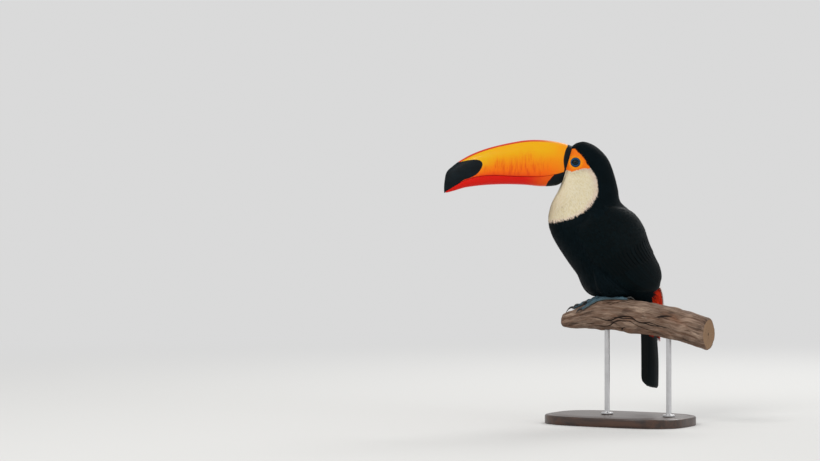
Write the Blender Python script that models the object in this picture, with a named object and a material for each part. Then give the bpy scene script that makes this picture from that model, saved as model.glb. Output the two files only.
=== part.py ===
"""A toco toucan (Ramphastos toco) as a life-size still model.

The bird sits on a short cut length of branch, which two rods hold over a flat display base.
Metres, +Z up. The origin is the centre of the base's underside. The bird's bill points along
-X; its trunk is turned a little to its left, towards -Y, and its head is turned back again.

The plumage is one surface, body_point(along, around), whose sections run from the face down
to the end of the tail coverts. Head, neck, trunk and coverts are lengths of that surface, and
each wing is a shell that lies on it.
"""

import math

import bmesh
import bpy
import numpy as np

# ---------------------------------------------------------------- where the bird stands
PERCH_TOP = 0.195  # height of the branch's top line under the feet
GRIP = np.array([-0.026, 0.015, PERCH_TOP])  # the point on that line between the feet
TRUNK_TURN = math.radians(22)  # the trunk's heading, from -X towards -Y
NECK_AXIS = -0.039  # the upright line about which the head turns back, on the trunk's x
CLEARANCE = 0.0004  # air between neighbouring pieces

# ---------------------------------------------------------------- plumage
# Each station is one section of the body: its back point and its front point (x backwards, z up
# from the grip), its half width, and how far up from the front it is fullest.
STATIONS = [
    # name            back x, z         front x, z        half   fullest
    ("face", (-0.0508, 0.2360), (-0.0668, 0.1780), 0.0212, 0.50),
    ("forehead", (-0.0430, 0.2408), (-0.0695, 0.1710), 0.0255, 0.50),
    ("crown", (-0.0298, 0.2420), (-0.0736, 0.1635), 0.0292, 0.50),
    ("hindcrown", (-0.0118, 0.2333), (-0.0783, 0.1560), 0.0318, 0.50),
    ("nape", (0.0047, 0.2155), (-0.0824, 0.1480), 0.0335, 0.50),
    ("neck", (0.0149, 0.1910), (-0.0861, 0.1370), 0.0355, 0.50),
    ("neck base", (0.0214, 0.1690), (-0.0887, 0.1250), 0.0395, 0.50),
    ("mantle", (0.0266, 0.1500), (-0.0880, 0.1110), 0.0445, 0.50),
    ("shoulder", (0.0480, 0.1320), (-0.0831, 0.0970), 0.0480, 0.48),
    ("upper back", (0.0630, 0.1085), (-0.0727, 0.0800), 0.0495, 0.46),
    ("middle back", (0.0698, 0.0840), (-0.0574, 0.0590), 0.0490, 0.46),
    ("lower back", (0.0800, 0.0630), (-0.0380, 0.0340), 0.0465, 0.48),
    ("rump", (0.0905, 0.0435), (-0.0150, 0.0050), 0.0420, 0.50),
    ("vent", (0.0925, 0.0230), (0.0410, -0.0120), 0.0340, 0.52),
    ("coverts", (0.0965, 0.0030), (0.0669, -0.0270), 0.0280, 0.52),
    ("coverts' end", (0.0971, -0.0300), (0.0777, -0.0430), 0.0240, 0.50),
    ("tips", (0.0950, -0.0550), (0.0863, -0.0590), 0.0190, 0.50),
]
SECTION_POWER = 0.92  # below 1 the sections are fuller than an ellipse
HEAD_ENDS = 4.0  # stations, counted from 0: where one node gives way to the next
NECK_ENDS = 7.0
TRUNK_ENDS = 12.85
TURN_BACK_FROM, TURN_BACK_TO = 3.0, 8.0  # the neck twists between these stations
BODY_SIDES = 28

# ---------------------------------------------------------------- bill
# Each station: culmen x, z and lower edge x, z on the head's own x, half width, and how far up
# from the lower edge the mouth line runs.
BILL = [
    ((-0.0513, 0.2352), (-0.0672, 0.1792), 0.0196, 0.29),
    ((-0.0700, 0.2407), (-0.0770, 0.1745), 0.0195, 0.26),
    ((-0.0961, 0.2444), (-0.0985, 0.1731), 0.0188, 0.205),
    ((-0.1237, 0.2440), (-0.1250, 0.1755), 0.0178, 0.175),
    ((-0.1500, 0.2396), (-0.1500, 0.1763), 0.0166, 0.19),
    ((-0.1760, 0.2335), (-0.1745, 0.1758), 0.0151, 0.235),
    ((-0.2000, 0.2254), (-0.1970, 0.1739), 0.0133, 0.26),
    ((-0.2200, 0.2156), (-0.2165, 0.1712), 0.0111, 0.24),
    ((-0.2360, 0.2047), (-0.2320, 0.1668), 0.0086, 0.18),
    ((-0.2465, 0.1930), (-0.2425, 0.1640), 0.0057, 0.13),
    ((-0.2503, 0.1800), (-0.2492, 0.1626), 0.0020, 0.10),
]
BILL_POWER = 0.80
LOWER_BILL_ENDS = 9.0  # the upper half hooks over the end of the lower one
MOUTH_GAP = 0.0006

# ---------------------------------------------------------------- eyes
EYE = (-0.0480, 0.2096)  # x, z on the head
EYE_RADIUS = 0.0062
EYE_STANDS_PROUD = 0.0016

# ---------------------------------------------------------------- wings and tail
WING = [  # station, angle from the back to the upper edge, to the lower edge, thickness
    (6.8, 72, 100, 0.0018),
    (7.5, 42, 122, 0.0046),
    (8.4, 24, 130, 0.0070),
    (9.5, 17, 130, 0.0080),
    (10.6, 14, 124, 0.0080),
    (11.5, 13, 114, 0.0072),
    (12.4, 13, 98, 0.0056),
    (12.9, 18, 68, 0.0036),
]
WING_LEAN = 0.25  # the lower edge of the wing lies this much further along than its back edge
WING_TIP_LIFT = 0.0045
SHELL_LIFT = 0.0013  # between the trunk's facets and the facets of a wing or thigh
WHITE_REACH = 42  # degrees to each side of the back that the white upper coverts cover
TAIL_LINE = [(0.0640, 0.0060), (0.0800, -0.0180), (0.0870, -0.0500), (0.0900, -0.0950), (0.0905, -0.1400)]
TAIL_HALF_WIDTH = [0.0150, 0.0215, 0.0255, 0.0290, 0.0275]
TAIL_THICK = 0.0030
TAIL_ARCH = 0.0060  # how far the outer edges lie in front of the middle
TAIL_TIP_FEATHERS = 4
TAIL_TIP_NOTCH = 0.006

# ---------------------------------------------------------------- legs and feet
FEET = {"l": (0.0000, -0.0140), "r": (0.0000, 0.0140)}  # on the trunk's own x, y
SHANK_RADIUS = 0.0033
ANKLE = (0.0080, 0.0240)  # above and behind the foot
THIGH = [  # the folded thigh against the belly, in the same terms as the wing
    (10.8, 134, 143, 0.0020),
    (11.3, 126, 150, 0.0038),
    (11.8, 120, 154, 0.0054),
    (12.3, 120, 153, 0.0054),
    (12.7, 128, 148, 0.0036),
]
TOES = [  # name, forwards or back, sideways start, splay, length, claw length, radius
    ("2", 1, 1, 5, 0.025, 0.0105, 0.0027),
    ("3", 1, -1, 4, 0.034, 0.0125, 0.0029),
    ("1", -1, 1, 8, 0.019, 0.0100, 0.0026),
    ("4", -1, -1, 10, 0.029, 0.0120, 0.0028),
]
TOE_START = 0.0066  # from the middle of the foot
TOE_ASIDE = 0.0031
TOE_ROOM_LONG, TOE_ROOM_WIDE, TOE_ROOM_HIGH = 0.080, 0.0145, 0.0068
PERCH_AIR = 0.0012  # between the plumage and the bark
FOOT_TURN = math.radians(16)  # from the line of the branch towards the front

# ---------------------------------------------------------------- perch and stand
PERCH_TURN = math.radians(-30)  # the branch's heading, from +X towards -Y
PERCH_RADIUS = 0.0250
PERCH_LEFT, PERCH_RIGHT = -0.068, 0.178  # from the grip, along the branch
PERCH_DROP = 0.88  # the branch bends down by this much times the distance squared, per metre
LEFT_END_DROP, LEFT_END_TAPER = 0.0125, 0.0150  # the thin end dips, and loses this much radius
PERCH_KNOTS = [  # along, around (0 is the top, positive towards the front), height, spread
    (0.112, 1.2, 0.0036, 0.015),
    (0.055, 2.8, 0.0026, 0.022),
    (0.150, -1.2, 0.0030, 0.022),
]
BASE_LENGTH, BASE_WIDTH, BASE_THICK = 0.230, 0.150, 0.014
BASE_EDGE = 0.0025
ROD_RADIUS = 0.0040
ROD_FLANGE = (0.0095, 0.0030)  # radius, thickness
ROD_PLACES = (0.008, 0.112)  # along the branch from the grip
ROD_IN_PERCH = 0.012


# ================================================================ shared geometry
def smooth(values, at):
    """A Catmull-Rom curve through rows of values, which stand at 0, 1, 2 and so on."""
    rows = np.asarray(values, float)
    at = np.asarray(at, float)
    last = len(rows) - 1
    cell = np.clip(np.floor(at).astype(int), 0, last - 1)
    part = at - cell
    if rows.ndim > 1:
        part = part[..., None]
    before = rows[np.maximum(cell - 1, 0)]
    start, end = rows[cell], rows[cell + 1]
    after = rows[np.minimum(cell + 2, last)]
    return 0.5 * (
        2 * start
        + (end - before) * part
        + (2 * before - 5 * start + 4 * end - after) * part**2
        + (3 * start - before - 3 * end + after) * part**3
    )


def turned(points, angle, centre=(0.0, 0.0)):
    """Points turned about an upright line; angle may differ from point to point."""
    x, y = points[..., 0] - centre[0], points[..., 1] - centre[1]
    cos, sin = np.cos(angle), np.sin(angle)
    return np.stack(
        [centre[0] + x * cos - y * sin, centre[1] + x * sin + y * cos, points[..., 2]], -1
    )


def on_trunk(points):
    """From the trunk's own axes to the model's."""
    return turned(np.asarray(points, float), TRUNK_TURN) + GRIP


def on_head(points):
    """From the head's own axes to the model's: the head is turned back to face -X."""
    return on_trunk(turned(np.asarray(points, float), -TRUNK_TURN, (NECK_AXIS, 0.0)))


def section_shape(across, around, power):
    """Height and side of a section whose fullest place is a share `across` of its height."""
    cos, sin = np.cos(around), np.sin(around)
    height = across + np.where(cos > 0, 1 - across, across) * cos
    return height, np.sign(sin) * np.abs(sin) ** power


def body_point(along, around):
    """The plumage: along counts stations, around is 0 at the back and pi at the front."""
    along, around = np.broadcast_arrays(np.asarray(along, float), np.asarray(around, float))
    back = smooth([s[1] for s in STATIONS], along)
    front = smooth([s[2] for s in STATIONS], along)
    half = smooth([s[3] for s in STATIONS], along)
    fullest = smooth([s[4] for s in STATIONS], along)
    height, side = section_shape(fullest, around, SECTION_POWER)
    x, z = np.moveaxis(front + (back - front) * height[..., None], -1, 0)
    points = np.stack([x, -half * side, z], -1)
    share = np.clip((along - TURN_BACK_FROM) / (TURN_BACK_TO - TURN_BACK_FROM), 0, 1)
    share = share * share * (3 - 2 * share)
    points = turned(points, -TRUNK_TURN * (1 - share), (NECK_AXIS, 0.0))
    return on_trunk(points)


def body_normal(along, around):
    """The outward direction of the plumage's surface."""
    step = 0.02
    down = body_point(along + step, around) - body_point(along - step, around)
    round_ = body_point(along, around + step) - body_point(along, around - step)
    normal = np.cross(round_, down)
    return normal / np.linalg.norm(normal, axis=-1, keepdims=True)


# ================================================================ making objects
def material(name, colour, roughness, metallic=0.0):
    """One Principled material."""
    made = bpy.data.materials.new(name)
    made.use_nodes = True
    shader = made.node_tree.nodes["Principled BSDF"]
    shader.inputs["Base Color"].default_value = (*colour, 1)
    shader.inputs["Roughness"].default_value = roughness
    shader.inputs["Metallic"].default_value = metallic
    made.diffuse_color = (*colour, 1)
    return made


def solid(name, rings, finish, sharp=60):
    """A closed body skinned over rings of points, with a flat cap at each end."""
    rings = np.asarray(rings, float)
    count, sides = rings.shape[:2]
    mesh = bpy.data.meshes.new(name)
    work = bmesh.new()
    verts = [[work.verts.new(p) for p in ring] for ring in rings]
    for lower, upper in zip(verts, verts[1:]):
        for i in range(sides):
            j = (i + 1) % sides
            work.faces.new((lower[i], lower[j], upper[j], upper[i]))
    work.faces.new(verts[0])
    work.faces.new(verts[-1])
    bmesh.ops.remove_doubles(work, verts=work.verts, dist=1e-6)
    bmesh.ops.triangulate(work, faces=[f for f in work.faces if len(f.verts) > 4])
    bmesh.ops.recalc_face_normals(work, faces=work.faces)
    work.to_mesh(mesh)
    work.free()
    mesh.shade_smooth()
    mesh.set_sharp_from_angle(angle=math.radians(sharp))
    mesh.materials.append(finish)
    made = bpy.data.objects.new(name, mesh)
    bpy.context.scene.collection.objects.link(made)
    return made


def cut(target, tool):
    """Takes the tool's shape out of the target; the tool isn't a part of the model."""
    tool.hide_render = True
    tool.display_type = "WIRE"
    modifier = target.modifiers.new("cut by " + tool.name, "BOOLEAN")
    modifier.operation = "DIFFERENCE"
    modifier.solver = "EXACT"
    modifier.object = tool


def round_angles(sides):
    """Equal angles round a section."""
    return np.arange(sides) * (2 * math.pi / sides)


# ================================================================ the bird
def make_plumage(finish):
    """Head, neck and trunk: lengths of the one plumage surface, parted by thin cuts."""
    around = round_angles(BODY_SIDES)
    spans = [
        ("head", 0.0, HEAD_ENDS, 8),
        ("neck", HEAD_ENDS, NECK_ENDS, 5),
        ("trunk", NECK_ENDS, TRUNK_ENDS, 12),
    ]
    made = {}
    for name, first, last, steps in spans:
        gap = 0.012  # stations, about a third of a millimetre where the sections are closest
        along = np.linspace(first + gap * (first > 0), last - gap, steps + 1)
        made[name] = solid(name, body_point(along[:, None], around[None, :]), finish)
    return made


def make_coverts(white, red):
    """The plumage below the trunk: white upper coverts over the back, red under coverts round
    the sides and the front. The tail comes out between them."""
    steps = 6
    along = np.linspace(TRUNK_ENDS + 0.012, len(STATIONS) - 1.0, steps + 1)
    made = []
    white_reach = math.radians(WHITE_REACH)
    for name, first, last, sides, finish in (
        ("coverts_upper", -white_reach, white_reach, 6, white),
        ("coverts_under", white_reach, 2 * math.pi - white_reach, 14, red),
    ):
        around = np.linspace(first, last, sides + 1)
        rings = body_point(along[:, None], around[None, :])
        if name == "coverts_upper":
            middle = 0.5 * (rings[:, :1] + rings[:, -1:])
            outward = rings[:, sides // 2 : sides // 2 + 1] - middle
            rings = rings + outward / np.linalg.norm(outward, axis=-1, keepdims=True) * CLEARANCE
        made.append(solid(name, rings, finish))
    return made


def make_bill(upper_finish, lower_finish):
    """Two halves parted along the mouth line."""
    sides, steps = 16, 14
    halves = (("bill_upper", len(BILL) - 1.0, upper_finish), ("bill_lower", LOWER_BILL_ENDS, lower_finish))
    for name, last, finish in halves:
        along = np.linspace(0, last, steps + 1)
        top, bottom = smooth([s[0] for s in BILL], along), smooth([s[1] for s in BILL], along)
        half, mouth = smooth([s[2] for s in BILL], along), smooth([s[3] for s in BILL], along)
        lift = MOUTH_GAP / 2 / np.linalg.norm(top - bottom, axis=-1)
        rings = []
        for t, b, w, m, g in zip(top, bottom, half, mouth, lift):
            corner = math.acos(np.clip(2 * (m + (g if name == "bill_upper" else -g)) - 1, -1, 1))
            if name == "bill_upper":
                around = np.linspace(-corner, corner, sides)
            else:
                around = np.linspace(corner, 2 * math.pi - corner, sides)
            height, side = section_shape(0.5, around, BILL_POWER)
            x, z = (b + (t - b) * height[:, None]).T
            rings.append(np.stack([x, -w * side, z], -1))
        solid(name, on_head(rings), finish)


def make_eyes(head, finish):
    """A ball in each side of the head, standing a little proud of the socket."""
    span = np.linspace(0, 3, 61)
    angles = np.linspace(0, math.pi, 91)
    grid = body_point(span[:, None], angles[None, :])
    for side, sign in (("l", -1), ("r", 1)):
        target = on_head([EYE[0], 0, EYE[1]])
        miss = np.hypot(grid[..., 0] - target[0], grid[..., 2] - target[2])
        surface = grid[np.unravel_index(miss.argmin(), miss.shape)]
        depth = abs(surface[1] - target[1]) + EYE_STANDS_PROUD - EYE_RADIUS
        centre = target + np.array([0, sign * depth, 0])
        for name, grow in (("eye_" + side, 0.0), ("socket_" + side, CLEARANCE)):
            work = bmesh.new()
            bmesh.ops.create_uvsphere(work, u_segments=16, v_segments=9, radius=EYE_RADIUS + grow)
            mesh = bpy.data.meshes.new(name)
            work.to_mesh(mesh)
            work.free()
            mesh.shade_smooth()
            mesh.materials.append(finish)
            ball = bpy.data.objects.new(name, mesh)
            ball.location = centre
            ball.rotation_euler = (math.pi / 2, 0, 0)
            bpy.context.scene.collection.objects.link(ball)
            if grow:
                cut(head, ball)


def make_shell(name, table, sign, finish, steps, across, lean=0.0, tip_lift=0.0):
    """A shell that lies on the plumage. The table's rows give a station, the angles from the
    back to the shell's upper and lower edges, and its thickness; it is thickest in the middle."""
    u = np.linspace(0, len(table) - 1.0, steps + 1)
    along = smooth([w[0] for w in table], u)
    upper = np.radians(smooth([w[1] for w in table], u))
    lower = np.radians(smooth([w[2] for w in table], u))
    thick = smooth([w[3] for w in table], u)
    v = np.linspace(0, 1, across + 1)
    around = sign * (upper[:, None] + (lower - upper)[:, None] * v[None, :])
    at = np.clip(along[:, None] + lean * (v[None, :] - 0.35), 0, len(STATIONS) - 1.0)
    base, normal = body_point(at, around), body_normal(at, around)
    lift = SHELL_LIFT + tip_lift * (u / u[-1])[:, None] ** 4 * (1 - v[None, :])
    crown = thick[:, None] * (0.30 + 0.70 * np.sin(math.pi * v) ** 0.7)[None, :]
    inner = base + normal * lift[..., None]
    outer = base + normal * (lift + crown)[..., None]
    return solid(name, np.concatenate([outer, inner[:, ::-1]], axis=1), finish)


def make_tail(finish):
    """The closed tail fan: a thin arched blade whose end shows the tips of its feathers."""
    steps, across = 7, 16
    u = np.linspace(0, len(TAIL_LINE) - 1.0, steps + 1)
    line, half = smooth(TAIL_LINE, u), smooth(TAIL_HALF_WIDTH, u)
    slope = smooth(TAIL_LINE, u + 0.01) - smooth(TAIL_LINE, u - 0.01)
    slope /= np.linalg.norm(slope, axis=-1, keepdims=True)
    v = np.linspace(-1, 1, across + 1)
    feather = np.abs(np.sin(v * TAIL_TIP_FEATHERS * math.pi / 2)) ** 0.5
    tip = TAIL_TIP_NOTCH * (feather - 1) - 0.010 * v**4
    made = []
    for name, grow in (("tail", 0.0), ("tail_room", CLEARANCE)):
        rings = []
        for k, (point, w, way) in enumerate(zip(line, half, slope)):
            share = max(0.0, (k / steps - 0.8) / 0.2)
            middle = point[None, :] + way[None, :] * (tip * share)[:, None]
            middle = middle - way * (grow if k == 0 else 0)
            out = np.array([-way[1], way[0]])  # towards the back of the tail
            thick = TAIL_THICK * (1 - 0.55 * k / steps) * (1 - 0.6 * v**2) + 2 * grow
            arch = -TAIL_ARCH * v**2 * (0.3 + 0.7 * min(1.0, k / steps * 3))
            rear = middle + out * (arch + thick / 2)[:, None]
            front = middle + out * (arch - thick / 2)[:, None]
            flat = [np.stack([p[:, 0], -(w + grow) * v, p[:, 1]], -1) for p in (rear, front)]
            rings.append(np.concatenate([flat[0], flat[1][::-1]]))
        made.append(solid(name, on_trunk(rings), finish))
    return made


# ================================================================ perch, legs and feet
def perch_point(along, around, lift=0.0):
    """The branch's bark: along from the grip, around from the top towards the front."""
    along, around = np.broadcast_arrays(np.asarray(along, float), np.asarray(around, float))
    thin = np.clip(along / PERCH_LEFT - 0.03, 0, 1)
    radius = PERCH_RADIUS - LEFT_END_TAPER * thin
    for at, turn, height, spread in PERCH_KNOTS:
        off = np.angle(np.exp(1j * (around - turn))) * PERCH_RADIUS
        radius = radius + height * np.exp(-((along - at) ** 2 + off**2) / (2 * (spread / 2) ** 2))
    x = along
    y = -(radius + lift) * np.sin(around)
    fall = PERCH_DROP * np.maximum(along, 0) ** 2 + LEFT_END_DROP * thin**1.15
    z = -PERCH_RADIUS - fall + (radius + lift) * np.cos(around)
    return turned(np.stack([x, y, z], -1), PERCH_TURN) + GRIP


def make_perch(finish):
    """The cut length of branch."""
    steps, sides = 18, 20
    along = np.linspace(PERCH_LEFT, PERCH_RIGHT, steps + 1)
    return solid("perch", perch_point(along[:, None], round_angles(sides)[None, :]), finish, sharp=50)


def make_perch_room(finish):
    """What the plumage leaves free: the branch, and over it the height of the toes at each foot."""
    along = np.linspace(PERCH_LEFT - 0.01, PERCH_RIGHT, 30)[:, None]
    around = round_angles(26)[None, :]
    rise = 0.0
    for side in ("l", "r"):
        centre, arc = foot_on_perch(side)
        p = along - centre
        q = np.angle(np.exp(1j * around)) * PERCH_RADIUS - arc
        ahead = p * math.cos(FOOT_TURN) + q * -math.sin(FOOT_TURN)
        aside = p * math.sin(FOOT_TURN) + q * math.cos(FOOT_TURN)
        near = 1 / (1 + ((ahead / TOE_ROOM_LONG) ** 2 + (aside / TOE_ROOM_WIDE) ** 2) ** 3)
        rise = np.maximum(rise, near)
    return solid("perch_room", perch_point(along, around, PERCH_AIR + TOE_ROOM_HIGH * rise), finish)


def foot_on_perch(side):
    """Where a foot's middle stands on the branch: along it, and round it as an arc."""
    x, y = FEET[side]
    flat = turned(np.array([x, y, 0.0]), TRUNK_TURN)
    own = turned(flat, -PERCH_TURN)
    return own[0], PERCH_RADIUS * math.asin(-own[1] / PERCH_RADIUS)


def make_shank(side, finish):
    """The bare leg: a padded foot, and the shank up into the belly's feathers."""
    steps, sides = 6, 8
    along, arc = foot_on_perch(side)
    foot = perch_point(along, arc / PERCH_RADIUS, 0.0060)
    x, y = FEET[side]
    ankle = on_trunk([x + ANKLE[0], y, ANKLE[1]])
    shares = np.linspace(0, 1, steps + 1)
    widths = smooth([0.0014, 0.0050, 0.0042, SHANK_RADIUS, SHANK_RADIUS, 0.0036], shares * 5)
    way = ankle - foot
    start = foot - way / np.linalg.norm(way) * 0.0035
    way = ankle - start
    across = np.cross(way, [0, 0, 1.0])
    across /= np.linalg.norm(across)
    other = np.cross(way / np.linalg.norm(way), across)
    turn = round_angles(sides)
    ring = across * np.cos(turn)[:, None] + other * np.sin(turn)[:, None]
    rings = [start + way * s + ring * w for s, w in zip(shares, widths)]
    made = solid("shank_" + side, rings, finish)
    rings = [start + way * s + ring * (w + CLEARANCE) for s, w in zip(shares * 1.02, widths)]
    return made, solid("shank_room_" + side, rings, finish)


def toe_line(side, forwards, aside, splay, distance, height):
    """A point above the bark at a distance along a toe, for a foot on the branch."""
    along, arc = foot_on_perch(side)
    heading = math.pi + FOOT_TURN
    outer = 1 if side == "l" else -1  # which way round is outwards for this foot
    turn = heading + (0 if forwards > 0 else math.pi)
    swing = math.radians(splay) * -aside * outer * forwards
    way = np.array([math.cos(turn + swing), math.sin(turn + swing)])
    across = np.array([-math.sin(heading), math.cos(heading)]) * -aside * outer
    flat = np.array([along, -arc]) + across * TOE_ASIDE + way * (TOE_START + np.asarray(distance)[:, None])
    return perch_point(flat[:, 0], -flat[:, 1] / PERCH_RADIUS, height)


def tube(name, line, radii, finish, sides=7):
    """A round tube along a line of points."""
    way = np.gradient(line, axis=0)
    way /= np.linalg.norm(way, axis=1, keepdims=True)
    across = np.cross(way, [0, 0, 1.0])
    across /= np.linalg.norm(across, axis=1, keepdims=True)
    other = np.cross(way, across)
    turn = round_angles(sides)
    ring = across[:, None] * np.cos(turn)[:, None] + other[:, None] * np.sin(turn)[:, None]
    return solid(name, line[:, None] + ring * np.asarray(radii)[:, None, None], finish)


def make_toes(side, skin, horn):
    """Two toes forwards and two back, with a hooked claw on each."""
    for number, forwards, aside, splay, length, claw, radius in TOES:
        share = np.linspace(0, 1, 7)
        swell = 1 + 0.10 * np.cos(share * 2 * math.pi * 3)
        widths = radius * (1 - 0.22 * share) * swell
        widths[0] *= 0.5
        widths[-1] *= 0.6
        line = toe_line(side, forwards, aside, splay, share * length, widths * 1.06 + CLEARANCE)
        tube(f"toe{number}_{side}", line, widths, skin)
        share = np.linspace(0, 1, 5)
        thick = radius * 0.60 * (1 - share) ** 0.8 + 0.00035
        arch = 0.0030 * np.sin(math.pi * share) ** 0.9
        start = length + thick[0] * 0.2 + CLEARANCE * 2
        height = thick + arch + 0.0010 * (1 - share) + CLEARANCE
        line = toe_line(side, forwards, aside, splay, start + share * claw * 0.85, height)
        tube(f"claw{number}_{side}", line, thick, horn, sides=6)


# ================================================================ stand
def make_stand(perch, wood, steel):
    """A flat base with rounded ends, and two flanged rods that carry the branch."""
    sides = 36
    turn = round_angles(sides)
    power = 0.62
    x = BASE_LENGTH / 2 * np.sign(np.cos(turn)) * np.abs(np.cos(turn)) ** power
    y = BASE_WIDTH / 2 * np.sign(np.sin(turn)) * np.abs(np.sin(turn)) ** power
    edge = BASE_EDGE
    rings = []
    profile = ((0, 0.0), (0, BASE_THICK - edge), (edge * 0.3, BASE_THICK - edge * 0.3), (edge, BASE_THICK))
    for inset, z in profile:
        shrink = 1 - 2 * inset / BASE_WIDTH
        ring = np.stack([x * shrink, y * shrink, np.full(sides, z)], -1)
        rings.append(turned(ring, PERCH_TURN))
    base = solid("stand_base", rings, wood, sharp=40)
    for name, along in zip(("stand_rod_a", "stand_rod_b"), ROD_PLACES):
        under = perch_point(along, math.pi)
        top = under[2] + ROD_IN_PERCH
        foot_radius, foot_thick = ROD_FLANGE
        start = BASE_THICK + CLEARANCE
        profile = [
            (foot_radius - 0.0006, start),
            (foot_radius, start + 0.0006),
            (foot_radius, start + foot_thick - 0.0008),
            (foot_radius - 0.0008, start + foot_thick),
            (ROD_RADIUS + 0.0008, start + foot_thick),
            (ROD_RADIUS, start + foot_thick + 0.0012),
            (ROD_RADIUS, top - 0.0008),
            (ROD_RADIUS - 0.0008, top),
        ]
        turn = round_angles(14)
        rings = [
            np.stack([under[0] + r * np.cos(turn), under[1] + r * np.sin(turn), np.full(14, z)], -1)
            for r, z in profile
        ]
        solid(name, rings, steel, sharp=35)
        hole = [
            np.stack(
                [
                    under[0] + (ROD_RADIUS + CLEARANCE) * np.cos(turn),
                    under[1] + (ROD_RADIUS + CLEARANCE) * np.sin(turn),
                    np.full(14, z),
                ],
                -1,
            )
            for z in (under[2] - 0.020, top + CLEARANCE)
        ]
        cut(perch, solid(name + "_hole", hole, steel))
    return base


def main():
    """Builds every piece."""
    for old in list(bpy.data.objects):
        bpy.data.objects.remove(old)
    black = material("black plumage", (0.010, 0.013, 0.016), 0.55)
    white = material("white coverts", (0.80, 0.76, 0.72), 0.70)
    red = material("red coverts", (0.60, 0.05, 0.01), 0.65)
    wing_black = material("wing plumage", (0.010, 0.012, 0.014), 0.45)
    tail_black = material("tail plumage", (0.008, 0.009, 0.011), 0.42)
    orange = material("bill horn", (0.85, 0.33, 0.01), 0.30)
    red_horn = material("lower bill horn", (0.75, 0.08, 0.01), 0.30)
    eye = material("eye", (0.010, 0.015, 0.030), 0.05)
    leg_skin = material("leg skin", (0.10, 0.17, 0.22), 0.50)
    claw_horn = material("claw horn", (0.03, 0.03, 0.03), 0.35)
    bark = material("branch wood", (0.17, 0.12, 0.09), 0.85)
    stand_wood = material("stand base wood", (0.05, 0.03, 0.02), 0.45)
    steel = material("rod steel", (0.55, 0.55, 0.56), 0.30, 1.0)

    body = make_plumage(black)
    coverts = make_coverts(white, red)
    make_bill(orange, red_horn)
    make_eyes(body["head"], eye)
    tail, tail_room = make_tail(tail_black)
    perch = make_perch(bark)
    perch_room = make_perch_room(bark)
    for piece in (body["trunk"], *coverts):
        cut(piece, tail_room)
        cut(piece, perch_room)
    for side, sign in (("l", 1), ("r", -1)):
        make_shell("wing_" + side, WING, sign, wing_black, 14, 8, WING_LEAN, WING_TIP_LIFT)
        thigh = make_shell("thigh_" + side, THIGH, sign, black, 7, 6)
        shank, shank_room = make_shank(side, leg_skin)
        cut(thigh, perch_room)
        cut(thigh, shank_room)
        cut(body["trunk"], shank_room)
        make_toes(side, leg_skin, claw_horn)
    make_stand(perch, stand_wood, steel)


main()
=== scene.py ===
"""A life-size toco toucan on a cut length of branch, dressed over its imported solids.

Metres, +Z up, the bill along -X. The plumage is one surface of two parameters: along counts
body sections from the face (0) to the ends of the tail coverts (16), and around is the angle
from the back (0) by the bird's left side to the front (pi) and on by its right side.
"""

import logging
import math
from dataclasses import dataclass, field
from enum import Enum
from typing import Any, Callable, Iterable, Mapping

import bpy
import numpy as np
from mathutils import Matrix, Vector


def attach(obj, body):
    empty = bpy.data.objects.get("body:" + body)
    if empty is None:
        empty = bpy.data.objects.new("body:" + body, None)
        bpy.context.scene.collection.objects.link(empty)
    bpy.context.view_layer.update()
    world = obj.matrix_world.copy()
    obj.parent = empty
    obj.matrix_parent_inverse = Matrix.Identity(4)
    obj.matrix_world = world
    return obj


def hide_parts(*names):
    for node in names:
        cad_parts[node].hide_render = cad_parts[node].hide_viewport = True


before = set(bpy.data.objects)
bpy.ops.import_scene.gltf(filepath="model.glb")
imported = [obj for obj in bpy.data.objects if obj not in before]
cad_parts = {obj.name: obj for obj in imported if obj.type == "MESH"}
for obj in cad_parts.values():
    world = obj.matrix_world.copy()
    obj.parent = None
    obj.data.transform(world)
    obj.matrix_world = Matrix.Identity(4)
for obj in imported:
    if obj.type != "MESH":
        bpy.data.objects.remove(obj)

Array = np.ndarray
log = logging.getLogger("toucan")
MM = 0.001
FULL_TURN = 6.2832  # radians
TO_MM = 1000
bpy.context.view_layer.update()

PERCH_TOP = 0.195  # the height of the branch's top line under the feet
GRIP = np.array([-0.026, 0.015, PERCH_TOP])  # the point on that line between the feet
TRUNK_TURN = math.radians(22)  # the trunk's heading, from -X towards -Y
NECK_AXIS = -0.039  # the upright line about which the head turns back
CLEARANCE = 0.0004
OFF_BARK = 0.0008  # how near skin and long feathers come to the bark
LAST = 16.0  # the plumage's last section
UNMARKED = -9.0  # a distance, in millimetres, that is far outside every marking
SIDES = {1: "l", -1: "r"}  # the bird's left and right, and the letter in their solids' names


# ---- numbers on curves and surfaces
def smooth(values: Any, at: Any) -> Array:
    """A Catmull-Rom curve: each stretch is the cubic through its ends with their slopes.

    Args:
        values: rows of numbers that stand at 0, 1, 2 and so on.
        at: where to read the curve, any shape.

    Returns:
        The curve's values, of at's shape and then a row's.
    """
    rows = np.asarray(values, float)
    at = np.asarray(at, float)
    last = len(rows) - 1
    cell = np.clip(np.floor(at).astype(int), 0, last - 1)
    part = at - cell
    if rows.ndim > 1:
        part = part[..., None]
    before, start = rows[np.maximum(cell - 1, 0)], rows[cell]
    end, after = rows[cell + 1], rows[np.minimum(cell + 2, last)]
    return 0.5 * (
        2 * start
        + (end - before) * part
        + (2 * before - 5 * start + 4 * end - after) * part**2
        + (3 * start - before - 3 * end + after) * part**3
    )


def carried(values: Any, at: Any) -> Array:
    """The same curve, which runs on straight past its two ends.

    Args:
        values: rows of numbers that stand at 0, 1, 2 and so on.
        at: where to read the curve, any shape.

    Returns:
        The curve's values, of at's shape and then a row's.
    """
    at = np.asarray(at, float)
    last = len(values) - 1
    near = np.clip(at, 0, last)
    here, within = smooth(values, near), smooth(values, near - 0.1 * np.sign(at - near))
    past = np.abs(at - near)
    return here + (here - within) * 10 * (past[..., None] if np.ndim(values) > 1 else past)


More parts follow.
